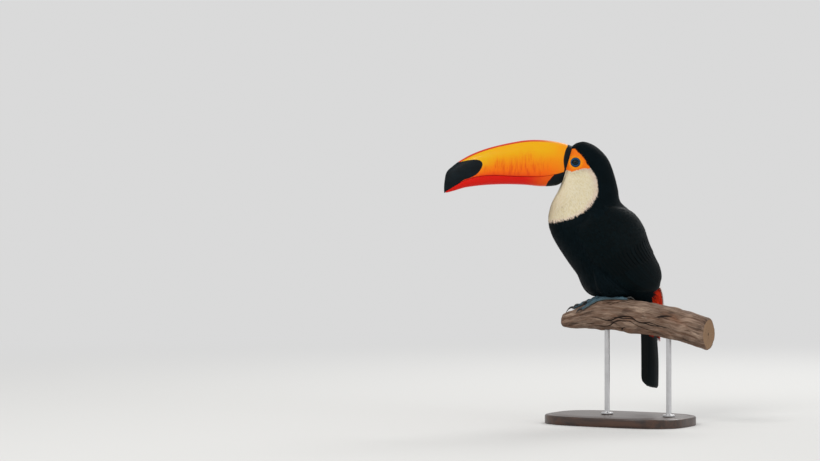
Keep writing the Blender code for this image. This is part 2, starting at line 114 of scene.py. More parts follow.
def step(low: float, high: float, at: Array) -> Array:
    """A soft step from 0 at low to 1 at high: 3s^2 - 2s^3 of the share s between them."""
    share = np.clip((at - low) / (high - low), 0, 1)
    return share * share * (3 - 2 * share)


def bell(off: Array, width: float) -> Array:
    """A bump of height 1: exp(-(off / width)^2)."""
    return np.exp(-((off / width) ** 2))


def wrapped(angle: Array) -> Array:
    """The same angle between -pi and pi."""
    return np.angle(np.exp(1j * angle))


def turns(count: int) -> Array:
    """Equal steps once round, in radians."""
    return np.arange(count) * (2 * math.pi / count)


def window(at: Array, opens: tuple[float, float], closes: tuple[float, float]) -> Array:
    """A soft step up over the first stretch and down again over the second."""
    return step(*opens, at) * (1 - step(*closes, at))


def unit(vectors: Array) -> Array:
    """The same directions with length 1."""
    return vectors / np.maximum(np.linalg.norm(vectors, axis=-1, keepdims=True), 1e-12)


def turned(points: Array, angle: Any, centre: tuple[float, float] = (0.0, 0.0)) -> Array:
    """Points turned about an upright line.

    Args:
        points: places, xyz last.
        angle: the turn in radians, one for all or one for each point.
        centre: x and y of the line.

    Returns:
        The turned places.
    """
    x, y = points[..., 0] - centre[0], points[..., 1] - centre[1]
    cos, sin = np.cos(angle), np.sin(angle)
    return np.stack(
        [centre[0] + x * cos - y * sin, centre[1] + x * sin + y * cos, points[..., 2]], -1
    )


def on_trunk(points: Any) -> Array:
    """From the trunk's own axes to the model's."""
    return turned(np.asarray(points, float), TRUNK_TURN) + GRIP


def on_head(points: Any) -> Array:
    """From the head's own axes to the model's: the head is turned back to face -X."""
    return on_trunk(turned(np.asarray(points, float), -TRUNK_TURN, (NECK_AXIS, 0.0)))


def section(across: Any, around: Array, power: float) -> tuple[Array, Array]:
    """A body section: its height runs with the cosine of around, its side with a power of the sine.

    Args:
        across: the share of its height at which it is fullest.
        around: the angle from its top.
        power: below 1 the sides are fuller than an ellipse's.

    Returns:
        Height from 0 to 1, and side from -1 to 1.
    """
    cos, sin = np.cos(around), np.sin(around)
    height = across + np.where(cos > 0, 1 - across, across) * cos
    return height, np.sign(sin) * np.abs(sin) ** power


def signed_distance(points: Array, outline: Any) -> Array:
    """How far points lie outside a closed outline, negative inside.

    The distance is the least over the outline's straight sides, and a point is inside where a
    level ray from it crosses the outline an odd number of times.

    Args:
        points: places in a plane, xy last.
        outline: the corners in order.

    Returns:
        One distance for each point, in the plane's own unit.
    """
    flat = points.reshape(-1, 2)
    start = np.asarray(outline, float)
    way = np.roll(start, -1, axis=0) - start
    off = flat[:, None] - start
    share = np.clip((off * way).sum(-1) / (way**2).sum(-1), 0, 1)
    least = np.linalg.norm(off - way * share[..., None], axis=-1).min(1)
    end_y = start[:, 1] + way[:, 1]
    crosses = (start[:, 1] > flat[:, None, 1]) != (end_y > flat[:, None, 1])
    rise = np.where(way[:, 1] == 0, 1e-12, way[:, 1])
    meets = start[:, 0] + way[:, 0] * (flat[:, None, 1] - start[:, 1]) / rise
    inside = (crosses & (flat[:, None, 0] < meets)).sum(1) % 2 == 1
    return np.where(inside, -least, least).reshape(points.shape[:-1])


def rounded(corners: Any, count: int = 8) -> Array:
    """A closed outline carried smoothly through its corners, count points to a side."""
    looped = np.concatenate([corners[-1:], corners, corners[:2]])
    return smooth(looped, 1 + np.arange(len(corners) * count) / count)


@dataclass(frozen=True)
class Ripple:
    """A smooth irregular field: a sum of sine waves with random headings and phases."""

    seed: int
    length: float  # of the longest wave, metres
    waves: int = 10
    finest: float = 0.25  # the shortest wave as a share of the longest

    def at(self, points: Array) -> Array:
        """The field at each point, mostly between -1 and 1.

        Args:
            points: places, any number of axes last.

        Returns:
            One number for each point.
        """
        pick = np.random.default_rng(self.seed)
        ways = unit(pick.normal(size=(self.waves, points.shape[-1])))
        lengths = self.length * self.finest ** np.linspace(0, 1, self.waves)
        phases = pick.uniform(0, 2 * math.pi, self.waves)
        sizes = lengths / lengths.sum()
        angles = points @ (ways / lengths[:, None] * 2 * math.pi).T + phases
        return (np.sin(angles) * sizes).sum(-1) * 1.8


# ---- meshes
def grid_faces(rows: int, columns: int, loop: bool = False) -> Array:
    """The quads of a grid of points, which face outwards where column x row points out.

    Args:
        rows: how many rows of points.
        columns: how many points in a row.
        loop: whether the last column joins the first.

    Returns:
        Four point numbers for each quad.
    """
    at = np.arange(rows - 1)[:, None] * columns
    here = np.arange(columns if loop else columns - 1)
    beside = (here + 1) % columns
    faces = [at + here, at + beside, at + columns + beside, at + columns + here]
    return np.stack(faces, -1).reshape(-1, 4)


@dataclass
class Form:
    """Points and faces, gathered from several arrays, that become one object."""

    name: str
    crisp: float = 0.0  # edges from this angle on are sharp, degrees; 0 for none
    points: list[Array] = field(default_factory=list)
    faces: dict[int, list[Array]] = field(default_factory=lambda: {3: [], 4: []})
    values: dict[str, list[Array]] = field(default_factory=dict)
    maps: dict[str, list[Array]] = field(default_factory=dict)
    count: int = 0

    def add(
        self,
        points: Array,
        faces: Iterable[Array],
        values: Mapping[str, Array] | None = None,
        maps: Mapping[str, Array] | None = None,
        inside_out: bool = False,
    ) -> None:
        """Adds one set of points with its faces.

        Args:
            points: places, xyz last.
            faces: arrays of three or four point numbers.
            values: numbers, or triples of numbers, for each point by attribute name.
            maps: UV places for each point by map name.
            inside_out: whether the faces are to be turned over.
        """
        points = points.reshape(-1, 3)
        for block in faces:
            block = block[:, ::-1] if inside_out else block
            self.faces[block.shape[1]].append(block + self.count)
        for name, value in (values or {}).items():
            row = (3,) if value.shape[-1] == 3 else ()
            self.values.setdefault(name, []).append(value.reshape(len(points), *row))
        for name, place in (maps or {}).items():
            self.maps.setdefault(name, []).append(place.reshape(-1, 2))
        self.points.append(points)
        self.count += len(points)

    def add_tube(self, rings: Array, values: Mapping[str, Array] | None = None) -> None:
        """Adds a closed body skinned over rings, each end closed by a fan to its middle.

        Args:
            rings: ring, point, xyz.
            values: numbers for each ring point, as ring, point.
        """
        rows, sides = rings.shape[:2]
        ends = np.stack([rings[0].mean(0), rings[-1].mean(0)])
        here = np.arange(sides)
        beside = (here + 1) % sides
        first = np.stack([np.full(sides, rows * sides), beside, here], -1)
        last_row = (rows - 1) * sides
        last = np.stack([np.full(sides, rows * sides + 1), last_row + here, last_row + beside], -1)
        spread = {}
        for name, value in (values or {}).items():
            value = np.broadcast_to(value, (rows, sides, *value.shape[2:]))
            caps = np.stack([value[0].mean(0), value[-1].mean(0)])
            spread[name] = np.concatenate([value.reshape(rows * sides, *value.shape[2:]), caps])
        points = np.concatenate([rings.reshape(-1, 3), ends])
        self.add(points, [grid_faces(rows, sides, True), first, last], spread)

    def mesh(self) -> bpy.types.Mesh:
        """The smooth-shaded mesh of all points and faces, with their values and maps.

        Returns:
            The mesh.
        """
        mesh = bpy.data.meshes.new(self.name)
        points = np.concatenate(self.points)
        mesh.vertices.add(len(points))
        mesh.vertices.foreach_set("co", points.ravel())
        blocks = {sides: np.concatenate(found) for sides, found in self.faces.items() if found}
        corners = np.concatenate([block.ravel() for block in blocks.values()])
        sizes = np.concatenate([np.full(len(block), sides) for sides, block in blocks.items()])
        mesh.loops.add(len(corners))
        mesh.loops.foreach_set("vertex_index", corners.astype(np.int32))
        mesh.polygons.add(len(sizes))
        mesh.polygons.foreach_set("loop_start", np.r_[0, np.cumsum(sizes)[:-1]].astype(np.int32))
        mesh.update(calc_edges=True)
        for name, found in self.values.items():
            value = np.concatenate(found)
            kind, key = ("FLOAT", "value") if value.ndim == 1 else ("FLOAT_VECTOR", "vector")
            mesh.attributes.new(name, kind, "POINT").data.foreach_set(key, value.ravel())
        for name, found in self.maps.items():
            place = np.concatenate(found)[corners]
            mesh.uv_layers.new(name=name).data.foreach_set("uv", place.ravel())
        mesh.shade_smooth()
        return mesh

    def build(self, finish: bpy.types.Material, slot: str, *nodes: str) -> None:
        """Makes the object, rides it on the body and hides the solids that it replaces.

        Args:
            finish: its material.
            slot: not used.
            nodes: the solids that it replaces.
        """
        mesh = self.mesh()
        mesh.materials.append(finish)
        if not self.maps:  # feathers are made the right way round
            face_outwards(mesh)
        if self.crisp:
            mesh.set_sharp_from_angle(angle=math.radians(self.crisp))
        made = linked(self.name, mesh)
        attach(made, "root")
        if nodes:
            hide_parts(*nodes)
        triangles = sum(len(block) * (k - 2) for k, found in self.faces.items() for block in found)
        log.info("%s: %d points, %d triangles", self.name, self.count, triangles)


def linked(name: str, data: Any) -> bpy.types.Object:
    """A new object of some data, linked to the scene."""
    made = bpy.data.objects.new(name, data)
    bpy.context.scene.collection.objects.link(made)
    return made


def face_outwards(mesh: bpy.types.Mesh) -> None:
    """Turns a closed mesh's faces outwards: its signed volume tells which way they are.

    Args:
        mesh: the closed mesh.
    """
    mesh.calc_loop_triangles()
    corners = np.empty(len(mesh.loop_triangles) * 3, np.int32)
    mesh.loop_triangles.foreach_get("vertices", corners)
    places = np.empty(len(mesh.vertices) * 3)
    mesh.vertices.foreach_get("co", places)
    a, b, c = np.moveaxis(places.reshape(-1, 3)[corners.reshape(-1, 3)], 1, 0)
    if (a * np.cross(b, c)).sum() < 0:
        mesh.flip_normals()


# ---- material maths
def maths(operation: str, swapped: bool = False) -> Callable[..., "Value"]:
    """A method of Value that adds one Math node.

    Args:
        operation: the node's operation.
        swapped: whether the value itself comes last.

    Returns:
        The method.
    """

    def method(self: "Value", *others: Any) -> "Value":
        """The node's result for the value and what else goes in, numbers or sockets.

        Args:
            others: numbers or sockets.

        Returns:
            The node's result.
        """
        node = self.tree.nodes.new("ShaderNodeMath")
        node.operation = operation
        for socket, value in zip(node.inputs, (*others, self) if swapped else (self, *others)):
            connect(self.tree, socket, value)
        return Value(self.tree, node.outputs[0])

    return method


class Value:
    """A socket on its way through a material, on which Python's operators add Math nodes."""

    __add__, __radd__ = maths("ADD"), maths("ADD", True)
    __sub__, __rsub__ = maths("SUBTRACT"), maths("SUBTRACT", True)
    __mul__, size, sine = maths("MULTIPLY"), maths("ABSOLUTE"), maths("SINE")
    least, most = maths("MINIMUM"), maths("MAXIMUM")

    def __init__(self, tree: bpy.types.NodeTree, socket: bpy.types.NodeSocket) -> None:
        """Wraps one output socket of a tree."""
        self.tree = tree
        self.socket = socket

    def between(self, low: float, high: float) -> "Value":
        """A soft step from 0 at low to 1 at high; low may be the larger number.

        Args:
            low: where the step starts.
            high: where it ends.

        Returns:
            The step.
        """
        node = self.tree.nodes.new("ShaderNodeMapRange")
        node.interpolation_type = "SMOOTHSTEP"
        for name, value in (("Value", self), ("From Min", low), ("From Max", high)):
            connect(self.tree, node.inputs[name], value)
        return Value(self.tree, node.outputs[0])


def connect(tree: bpy.types.NodeTree, socket: bpy.types.NodeSocket, value: Any) -> None:
    """Links a wrapped socket, or sets a plain number, vector or colour.

    Args:
        tree: the material's nodes.
        socket: the input to fill.
        value: what goes in; a colour of three numbers gets an opaque fourth.
    """
    if isinstance(value, Value):
        tree.links.new(value.socket, socket)
    elif isinstance(value, (tuple, list)):
        whole = (*value, 1.0) if len(value) == 3 and socket.type == "RGBA" else value
        socket.default_value = whole
    else:
        socket.default_value = value


class Finish:
    """The nodes of one material, with a method for each kind of thing that it mixes."""

    def __init__(self, name: str) -> None:
        """Starts an empty material.

        Args:
            name: its name.
        """
        self.material = bpy.data.materials.new(name)
        self.material.use_nodes = True
        self.tree = self.material.node_tree
        self.tree.nodes.clear()
        self.colour: Any = None  # as laid so far

    def node(
        self, kind: str, inputs: Mapping[Any, Any] | None = None, output: Any = 0, **settings: Any
    ) -> Value:
        """Adds any node.

        Args:
            kind: the node's type without its ShaderNode prefix.
            inputs: values or links by socket name or number.
            output: which of its outputs to hand back.
            settings: its own options, set first.

        Returns:
            That output.
        """
        made = self.tree.nodes.new("ShaderNode" + kind)
        for name, value in settings.items():
            setattr(made, name, value)
        for name, value in (inputs or {}).items():
            connect(self.tree, made.inputs[name], value)
        return Value(self.tree, made.outputs[output])

    def read(self, name: str, output: str = "Fac") -> Value:
        """One of the mesh's own attributes."""
        return self.node("Attribute", None, output, attribute_name=name)

    def vane(self) -> tuple[Value, Value]:
        """The share along a feather, and the share across it from the shaft to an edge."""
        parts = self.node("SeparateXYZ", {"Vector": self.node("UVMap", uv_map="Vane")})
        return Value(self.tree, parts.socket.node.outputs[1]), (parts - 0.5).size() * 2

    def place(
        self, scale: tuple = (1, 1, 1), turn: tuple = (0, 0, 0), source: Value | None = None
    ) -> Value:
        """Object coordinates, or another vector, turned by radians and stretched by a scale."""
        vector = source or self.node("TexCoord", output="Object")
        return self.node("Mapping", {"Vector": vector, "Rotation": turn, "Scale": scale})

    def noise(self, where: Value, scale: float, detail: float = 3.0, rough: float = 0.55) -> Value:
        """Soft irregular values between 0 and 1, with scale lumps to the metre."""
        inputs = {"Vector": where, "Scale": scale, "Detail": detail, "Roughness": rough}
        return self.node("TexNoise", inputs)

    def cells(self, where: Value, scale: float) -> Value:
        """The distance to the nearest of scattered points, with scale of them to the metre."""
        return self.node("TexVoronoi", {"Vector": where, "Scale": scale})

    def mix_number(self, share: Value, first: Any, second: Any) -> Value:
        """Numbers mixed by a share of the second."""
        return share * second + (1 - share) * first

    def mix(self, share: Any, first: Any, second: Any, blend: str = "MIX") -> Value:
        """Colours mixed by a share of the second."""
        inputs = {0: share, 6: first, 7: second}
        return self.node("Mix", inputs, 2, data_type="RGBA", blend_type=blend)

    def lay(self, share: Value, colour: Any, blend: str = "MIX") -> None:
        """Lays a colour over the material's own so far, by a share."""
        self.colour = self.mix(share, self.colour, colour, blend)

    def bump(self, height: Value, distance: float, strength: float = 1.0) -> Value:
        """A relief whose height is in units of distance, metres."""
        return self.node("Bump", {"Height": height, "Distance": distance, "Strength": strength})

    def done(self, surface: Value) -> bpy.types.Material:
        """Hands the shader to the output and gives back the material."""
        end = self.tree.nodes.new("ShaderNodeOutputMaterial")
        self.tree.links.new(surface.socket, end.inputs["Surface"])
        return self.material

    def principled(
        self, rough: Any, relief: Value | None = None, others: Mapping[str, Any] | None = None
    ) -> bpy.types.Material:
        """Ends the material in a Principled shader of its colour.

        Args:
            rough: its roughness.
            relief: its bumped normal, if it has one.
            others: further sockets by name.

        Returns:
            The material.
        """
        inputs = {"Base Color": self.colour, "Roughness": rough, **(others or {})}
        if relief:
            inputs["Normal"] = relief
        return self.done(self.node("BsdfPrincipled", inputs))


def srgb(red: int, green: int, blue: int) -> tuple[float, float, float]:
    """A colour of 0 to 255 steps as the linear numbers that shaders use."""
    shares = np.array([red, green, blue]) / 255
    linear = np.where(shares < 0.04045, shares / 12.92, ((shares + 0.055) / 1.055) ** 2.4)
    return tuple(linear.tolist())


# ---- the bird's surfaces
class Surface:
    """Anything that feathers can be rooted on: places by two parameters and a height."""

    side = 1  # -1 where it mirrors the bird's left

    def place(self, first: Array, second: Array, height: Any) -> Array:
        """The point at two parameters and a height above the surface."""
        raise NotImplementedError

    def station(self, first: Array, second: Array) -> tuple[Array, Array]:
        """Along and around of the same point on the plumage: here its own two parameters."""
        return first, second


@dataclass(frozen=True)
class Shell:
    """A wing or thigh, which lies on the plumage as rows of station, edges and thickness."""

    rows: tuple[tuple[float, float, float, float], ...]
    ends: tuple  # the row numbers over which it raises its coat and lets it down again
    sides: tuple  # the same across it, as shares
    lean: float = 0.0  # how far its rows slant, stations from edge to edge
    pivot: float = 0.35  # the share across at which a row keeps its station
    tip_lift: float = 0.0
    gap: float = 0.0013

    def edges(self, u: Array) -> tuple[Array, Array, Array, Array]:
        """Station, upper edge, lower edge (radians) and thickness at a row number."""
        table = smooth(self.rows, u)
        return table[..., 0], np.radians(table[..., 1]), np.radians(table[..., 2]), table[..., 3]

    def lift(self, u: Array, v: Array) -> Array:
        """The height of the outer face over the plumage.

        The gap and the lifted tip, and then the thickness times 0.3 + 0.7 sin(pi v)^0.7.

        Args:
            u: the row number.
            v: the share from the upper edge to the lower.

        Returns:
            The height in metres.
        """
        last = len(self.rows) - 1
        tip = self.tip_lift * np.clip(u / last, 0, 1.1) ** 4 * (1 - np.clip(v, 0, 1))
        swell = 0.30 + 0.70 * np.sin(math.pi * np.clip(v, 0, 1)) ** 0.7
        return self.gap + tip + self.edges(u)[3] * swell

    def within(self, along: Array, around: Array) -> tuple[Array, Array]:
        """The row number and share of a place on the plumage, either side of the bird.

        Args:
            along: its station.
            around: its angle.

        Returns:
            u and v, which run below 0 and above 1 outside the shell.
        """
        angle = np.where(around > math.pi, 2 * math.pi - around, around)
        stations = np.array([row[0] for row in self.rows])
        numbers = np.arange(len(stations))
        u = np.interp(along, stations, numbers)
        for _ in range(3):
            _, upper, lower, _ = self.edges(u)
            v = (angle - upper) / (lower - upper)
            moved = along - self.lean * (np.clip(v, 0, 1) - self.pivot)
            u = np.interp(moved, stations, numbers)
            u = u + np.where(moved < stations[0], (moved - stations[0]) / 0.7, 0)
            u = u + np.where(moved > stations[-1], (moved - stations[-1]) / 0.5, 0)
        return u, v


WING = Shell(
    (
        (6.8, 72, 100, 0.0018),
        (7.5, 42, 122, 0.0046),
        (8.4, 24, 130, 0.0070),
        (9.5, 17, 130, 0.0080),
        (10.6, 14, 124, 0.0080),
        (11.5, 13, 114, 0.0072),
        (12.4, 13, 98, 0.0056),
        (12.9, 18, 68, 0.0036),
    ),
    ends=((-0.9, 0.35), (6.6, 7.3)),
    sides=((-0.12, 0.05), (0.98, 1.10)),
    lean=0.25,
    tip_lift=0.0045,
)
THIGH = Shell(
    (
        (10.8, 134, 143, 0.0020),
        (11.3, 126, 150, 0.0038),
        (11.8, 120, 154, 0.0054),
        (12.3, 120, 153, 0.0054),
        (12.7, 128, 148, 0.0036),
    ),
    ends=((-0.6, 0.5), (3.6, 4.4)),
    sides=((-0.25, 0.2), (0.8, 1.25)),
)


@dataclass(frozen=True)
class Plumage(Surface):
    """The one surface of head, neck, trunk and coverts, lofted through 17 sections."""

    back: tuple = (
        (-0.0508, 0.2360), (-0.0430, 0.2408), (-0.0298, 0.2420), (-0.0118, 0.2333),
        (0.0047, 0.2155), (0.0149, 0.1910), (0.0214, 0.1690), (0.0266, 0.1500),
        (0.0480, 0.1320), (0.0630, 0.1085), (0.0698, 0.0840), (0.0800, 0.0630),
        (0.0905, 0.0435), (0.0925, 0.0230), (0.0965, 0.0030), (0.0971, -0.0300),
        (0.0950, -0.0550),
    )  # fmt: skip
    front: tuple = (
        (-0.0668, 0.1780), (-0.0695, 0.1710), (-0.0736, 0.1635), (-0.0783, 0.1560),
        (-0.0824, 0.1480), (-0.0861, 0.1370), (-0.0887, 0.1250), (-0.0880, 0.1110),
        (-0.0831, 0.0970), (-0.0727, 0.0800), (-0.0574, 0.0590), (-0.0380, 0.0340),
        (-0.0150, 0.0050), (0.0410, -0.0120), (0.0669, -0.0270), (0.0777, -0.0430),
        (0.0863, -0.0590),
    )  # fmt: skip
    half: tuple = (
        0.0203, 0.0254, 0.0292, 0.0318, 0.0335, 0.0355, 0.0395, 0.0445, 0.0480,
        0.0495, 0.0490, 0.0465, 0.0420, 0.0340, 0.0280, 0.0240, 0.0190,
    )  # fmt: skip
    fullest: tuple = (
        0.50, 0.50, 0.50, 0.50, 0.50, 0.50, 0.50, 0.50, 0.48,
        0.46, 0.46, 0.48, 0.50, 0.52, 0.52, 0.50, 0.50,
    )  # fmt: skip
    power: float = 0.92
    turn_from: float = 3.0
    turn_to: float = 8.0

    def point(self, along: Any, around: Any) -> Array:
        """A place on the surface.

        Each section lies between its back and front points with its half width to each side;
        from turn_from to turn_to the neck twists from the head's heading to the trunk's.

        Args:
            along: station.
            around: angle from the back.

        Returns:
            Places, xyz last.
        """
        along, around = np.broadcast_arrays(np.asarray(along, float), np.asarray(around, float))
        back, front = carried(self.back, along), carried(self.front, along)
        fullest = smooth(self.fullest, np.clip(along, 0, LAST))
        height, side = section(fullest, around, self.power)
        x, z = np.moveaxis(front + (back - front) * height[..., None], -1, 0)
        points = np.stack([x, -carried(self.half, along) * side, z], -1)
        share = 1 - step(self.turn_from, self.turn_to, along)
        return on_trunk(turned(points, -TRUNK_TURN * share, (NECK_AXIS, 0.0)))

    def normal(self, along: Any, around: Any) -> Array:
        """The outward direction: the cross product of the ways around and along.

        Args:
            along: station.
            around: angle from the back.

        Returns:
            Directions.
        """
        near = 0.02
        down = self.point(along + near, around) - self.point(along - near, around)
        across = self.point(along, around + near) - self.point(along, around - near)
        return unit(np.cross(across, down))

    def over(self, along: Any, around: Any, height: Array) -> Array:
        """The place at a height over the surface itself."""
        return self.point(along, around) + self.normal(along, around) * height[..., None]

    def swell(self, along: Array, around: Array) -> Array:
        """How far the plumage is raised by what is under it, and flat beneath the wing tips."""
        return self.raised(along, around) * (1 - step(12.0, 12.6, along))

    def raised(self, along: Array, around: Array) -> Array:
        """How far wings and thighs raise what lies over them, with soft edges.

        Args:
            along: station.
            around: angle from the back.

        Returns:
            Height in metres.
        """
        heights = []
        for shell in (WING, THIGH):
            u, v = shell.within(along, around)
            edges = window(u, *shell.ends) * window(v, *shell.sides)
            heights.append(shell.lift(np.clip(u, 0, len(shell.rows) - 1), v) * edges)
        return np.maximum(*heights)

    def place(self, first: Array, second: Array, height: Any) -> Array:
        """A place above the raised surface: along, around and height."""
        return self.over(first, second, self.swell(first, second) + height)


BODY = Plumage()


@dataclass(frozen=True)
class UnderWing(Plumage):
    """The plumage as it runs on under the wing tips, for what comes out from beneath them."""

    def swell(self, along: Array, around: Array) -> Array:
        """Nothing raises it."""
        return np.zeros(np.shape(along))


@dataclass(frozen=True)
class WingFace(Surface):
    """The outer face of a folded wing: u runs to its tip, v from its upper edge to its lower."""

    side: int  # 1 for the bird's left wing, -1 for its right

    def station(self, first: Array, second: Array) -> tuple[Array, Array]:
        """Along and around of a place on the wing."""
        along, upper, lower, _ = WING.edges(first)
        around = (upper + (lower - upper) * second) * self.side
        return np.clip(along + WING.lean * (second - WING.pivot), 0, LAST), around

    def place(self, first: Array, second: Array, height: Any) -> Array:
        """The plumage's point raised by the wing's lift and the height."""
        return BODY.over(*self.station(first, second), WING.lift(first, second) + height)


@dataclass(frozen=True)
class TailFan(Surface):
    """The closed tail's rear face: u runs down its line, v across it from -1 to 1."""

    line: tuple = (
        (0.0640, 0.0060), (0.0800, -0.0180), (0.0870, -0.0500), (0.0900, -0.0950),
        (0.0905, -0.1400),
    )  # fmt: skip
    half: tuple = (0.0150, 0.0215, 0.0255, 0.0290, 0.0275)
    thick: float = 0.0030
    arch: float = 0.0060

    def place(self, first: Array, second: Array, height: Any) -> Array:
        """The line's point, arched towards the front by v squared, with half its thickness.

        Args:
            first: place on the line, 0 to 4.
            second: place across.
            height: above the rear face.

        Returns:
            Places, xyz last.
        """
        middle, half = smooth(self.line, first), smooth(self.half, first)
        way = unit(smooth(self.line, first + 0.01) - smooth(self.line, first - 0.01))
        share = np.clip(first / 4, 0, 1)
        thin = 1 - 0.6 * np.clip(np.abs(second), 0, 1) ** 2
        thick = self.thick * (1 - 0.55 * share) * thin
        bend = -self.arch * second**2 * (0.3 + 0.7 * np.minimum(1, share * 3))
        out = bend + thick / 2 + height
        flat = [middle[..., 0] - way[..., 1] * out, -half * second]
        return on_trunk(np.stack([*flat, middle[..., 1] + way[..., 0] * out], -1))

    def station(self, first: Array, second: Array) -> tuple[Array, Array]:
        """A place at the end of the coverts' own map, where nothing else is rooted."""
        return 15.2 + first * 0.19, math.pi + second * 2.4


# ---- markings
@dataclass(frozen=True)
class Markings:
    """Where the plumage is white or red and where the face is bare.

    The outlines are of the bird's left side as station and degrees from the back; the right
    side mirrors them. Distances are in millimetres, on a flat map of the surface.
    """

    bib: tuple = (
        (3.65, 68), (4.10, 66.5), (4.60, 68), (4.98, 71), (5.42, 77), (5.72, 86), (6.02, 96),
        (6.22, 107), (6.34, 122), (6.36, 140), (6.28, 160), (6.22, 180), (6.22, 205),
        (3.00, 215), (-0.90, 205), (-0.90, 150), (-0.90, 100), (0.30, 92), (1.26, 90),
        (2.29, 84), (2.89, 77), (3.31, 72),
    )  # fmt: skip
    bare: tuple = (
        (-0.90, 35), (0.59, 40), (1.20, 50), (1.68, 57), (2.50, 62), (3.04, 66), (3.65, 68),
        (3.31, 76), (2.89, 86), (2.29, 98), (1.26, 104), (0.30, 106), (-0.90, 107),
    )  # fmt: skip
    white_from: float = 12.35
    white_reach: float = 40.0  # degrees to each side of the back
    red_from: float = 12.75

    def flat(self, along: Array, degrees: Array) -> Array:
        """A flat map in millimetres: stations by their length at the side, degrees by 0.58."""
        reach = (0, 5, 12, 23, 38, 57, 75, 94, 115, 138, 163, 192, 223, 259, 282, 308, 330)
        lengths = smooth(reach, np.clip(along, 0, LAST)) + np.minimum(along, 0) * 5
        return np.stack(np.broadcast_arrays(lengths, degrees * 0.58), -1)

    def outline(self, corners: tuple) -> Array:
        """An outline's corners on the flat map, carried smoothly."""
        table = np.array(corners, float)
        return rounded(self.flat(table[:, 0], table[:, 1]), 4)

    def at(self, along: Array, around: Array) -> dict[str, Array]:
        """The distances to the edge of each marking, positive inside it.

        Args:
            along: station.
            around: angle from the back.

        Returns:
            bib, bare, white and red, in millimetres.
        """
        around = np.mod(around, 2 * math.pi)
        degrees = np.degrees(np.where(around > math.pi, 2 * math.pi - around, around))
        where = self.flat(along, degrees)
        beyond = self.flat(along, degrees * 0)[..., 0]
        start = self.flat(np.array([self.white_from, self.red_from]), np.zeros(2))[:, 0]
        side = (self.white_reach - degrees) * 0.45
        return {
            "bib": -signed_distance(where, self.outline(self.bib)),
            "bare": -signed_distance(where, self.outline(self.bare)),
            "white": np.minimum(beyond - start[0], side),
            "red": np.minimum(beyond - start[1] - 24 * step(60, 140, degrees), -side),
        }


MARKINGS = Markings()


@dataclass(frozen=True)
class Depth:
    """How deep the coat is from the skin to its surface."""

    rows: tuple = (
        0.9, 1.0, 1.2, 1.5, 1.8, 2.0, 2.2, 2.5, 2.8, 3.0, 3.0, 3.0, 2.8, 2.4, 2.2, 2.0, 1.6,
    )  # fmt: skip

    def at(self, along: Array, around: Array) -> Array:
        """The depth in metres: by station, and thin where the face is bare."""
        bare = MARKINGS.at(along, around)["bare"]
        return smooth(self.rows, np.clip(along, 0, LAST)) * MM * (1 - 0.55 * step(-2.5, 0.5, bare))


DEPTH = Depth()


# ---- the branch, which others clear
@dataclass(frozen=True)
class BranchShape:
    """The bark's surface, and how to keep other things out of it."""

    heading: float = math.radians(-30)
    radius: float = 0.0250
    left: float = -0.068
    right: float = 0.178
    drop: float = 0.88
    end_drop: float = 0.0125
    end_taper: float = 0.0150
    knots: tuple = (  # where, at which angle, how high and how wide
        (0.112, 1.2, 0.0036, 0.015), (0.055, 2.8, 0.0026, 0.022), (0.150, -1.2, 0.0030, 0.022),
    )  # fmt: skip

    def girth(self, along: Array, around: Array) -> Array:
        """The radius: less towards the thin end, and raised by each knot's bell shape.

        Args:
            along: from the grip, metres.
            around: from the top.

        Returns:
            The radius.
        """
        thin = np.clip(along / self.left - 0.03, 0, 1)
        radius = self.radius - self.end_taper * thin
        for at, turn, height, spread in self.knots:
            off = wrapped(around - turn) * self.radius
            rise = np.exp(-((along - at) ** 2 + off**2) / (2 * (spread / 2) ** 2))
            radius = radius + height * rise
        return radius

    def sink(self, along: Array) -> Array:
        """How far the branch's middle has dropped."""
        thin = np.clip(along / self.left - 0.03, 0, 1)
        return self.drop * np.maximum(along, 0) ** 2 + self.end_drop * thin**1.15

    def place(self, along: Any, around: Any, height: Any = 0.0) -> Array:
        """A place at a height over the bark.

        Args:
            along: from the grip, metres.
            around: from the top towards the front.
            height: over the bark, metres.

        Returns:
            Places, xyz last.
        """
        along, around = np.broadcast_arrays(np.asarray(along, float), np.asarray(around, float))
        out = self.girth(along, around) + height
        z = -self.radius - self.sink(along) + out * np.cos(around)
        return turned(np.stack([along, -out * np.sin(around), z], -1), self.heading) + GRIP

    def cleared(self, points: Array, gap: float) -> tuple[Array, Array]:
        """Moves what lies in the branch straight out from its middle.

        Args:
            points: places, xyz last.
            gap: how far over the bark they may come.

        Returns:
            The places, and how far each was moved.
        """
        own = turned(points - GRIP, -self.heading)
        z = own[..., 2] + self.radius + self.sink(own[..., 0])
        reach = np.maximum(np.hypot(own[..., 1], z), 1e-5)
        around = np.arctan2(-own[..., 1], z)
        want = self.girth(own[..., 0], around) + gap
        inside = (own[..., 0] > self.left - 0.004) & (own[..., 0] < self.right)
        grow = np.where(inside, np.maximum(want / reach, 1.0), 1.0)
        moved = np.stack([own[..., 0], own[..., 1] * grow, own[..., 2] + z * (grow - 1)], -1)
        return turned(moved, self.heading) + GRIP, reach * (grow - 1)


BRANCH = BranchShape()


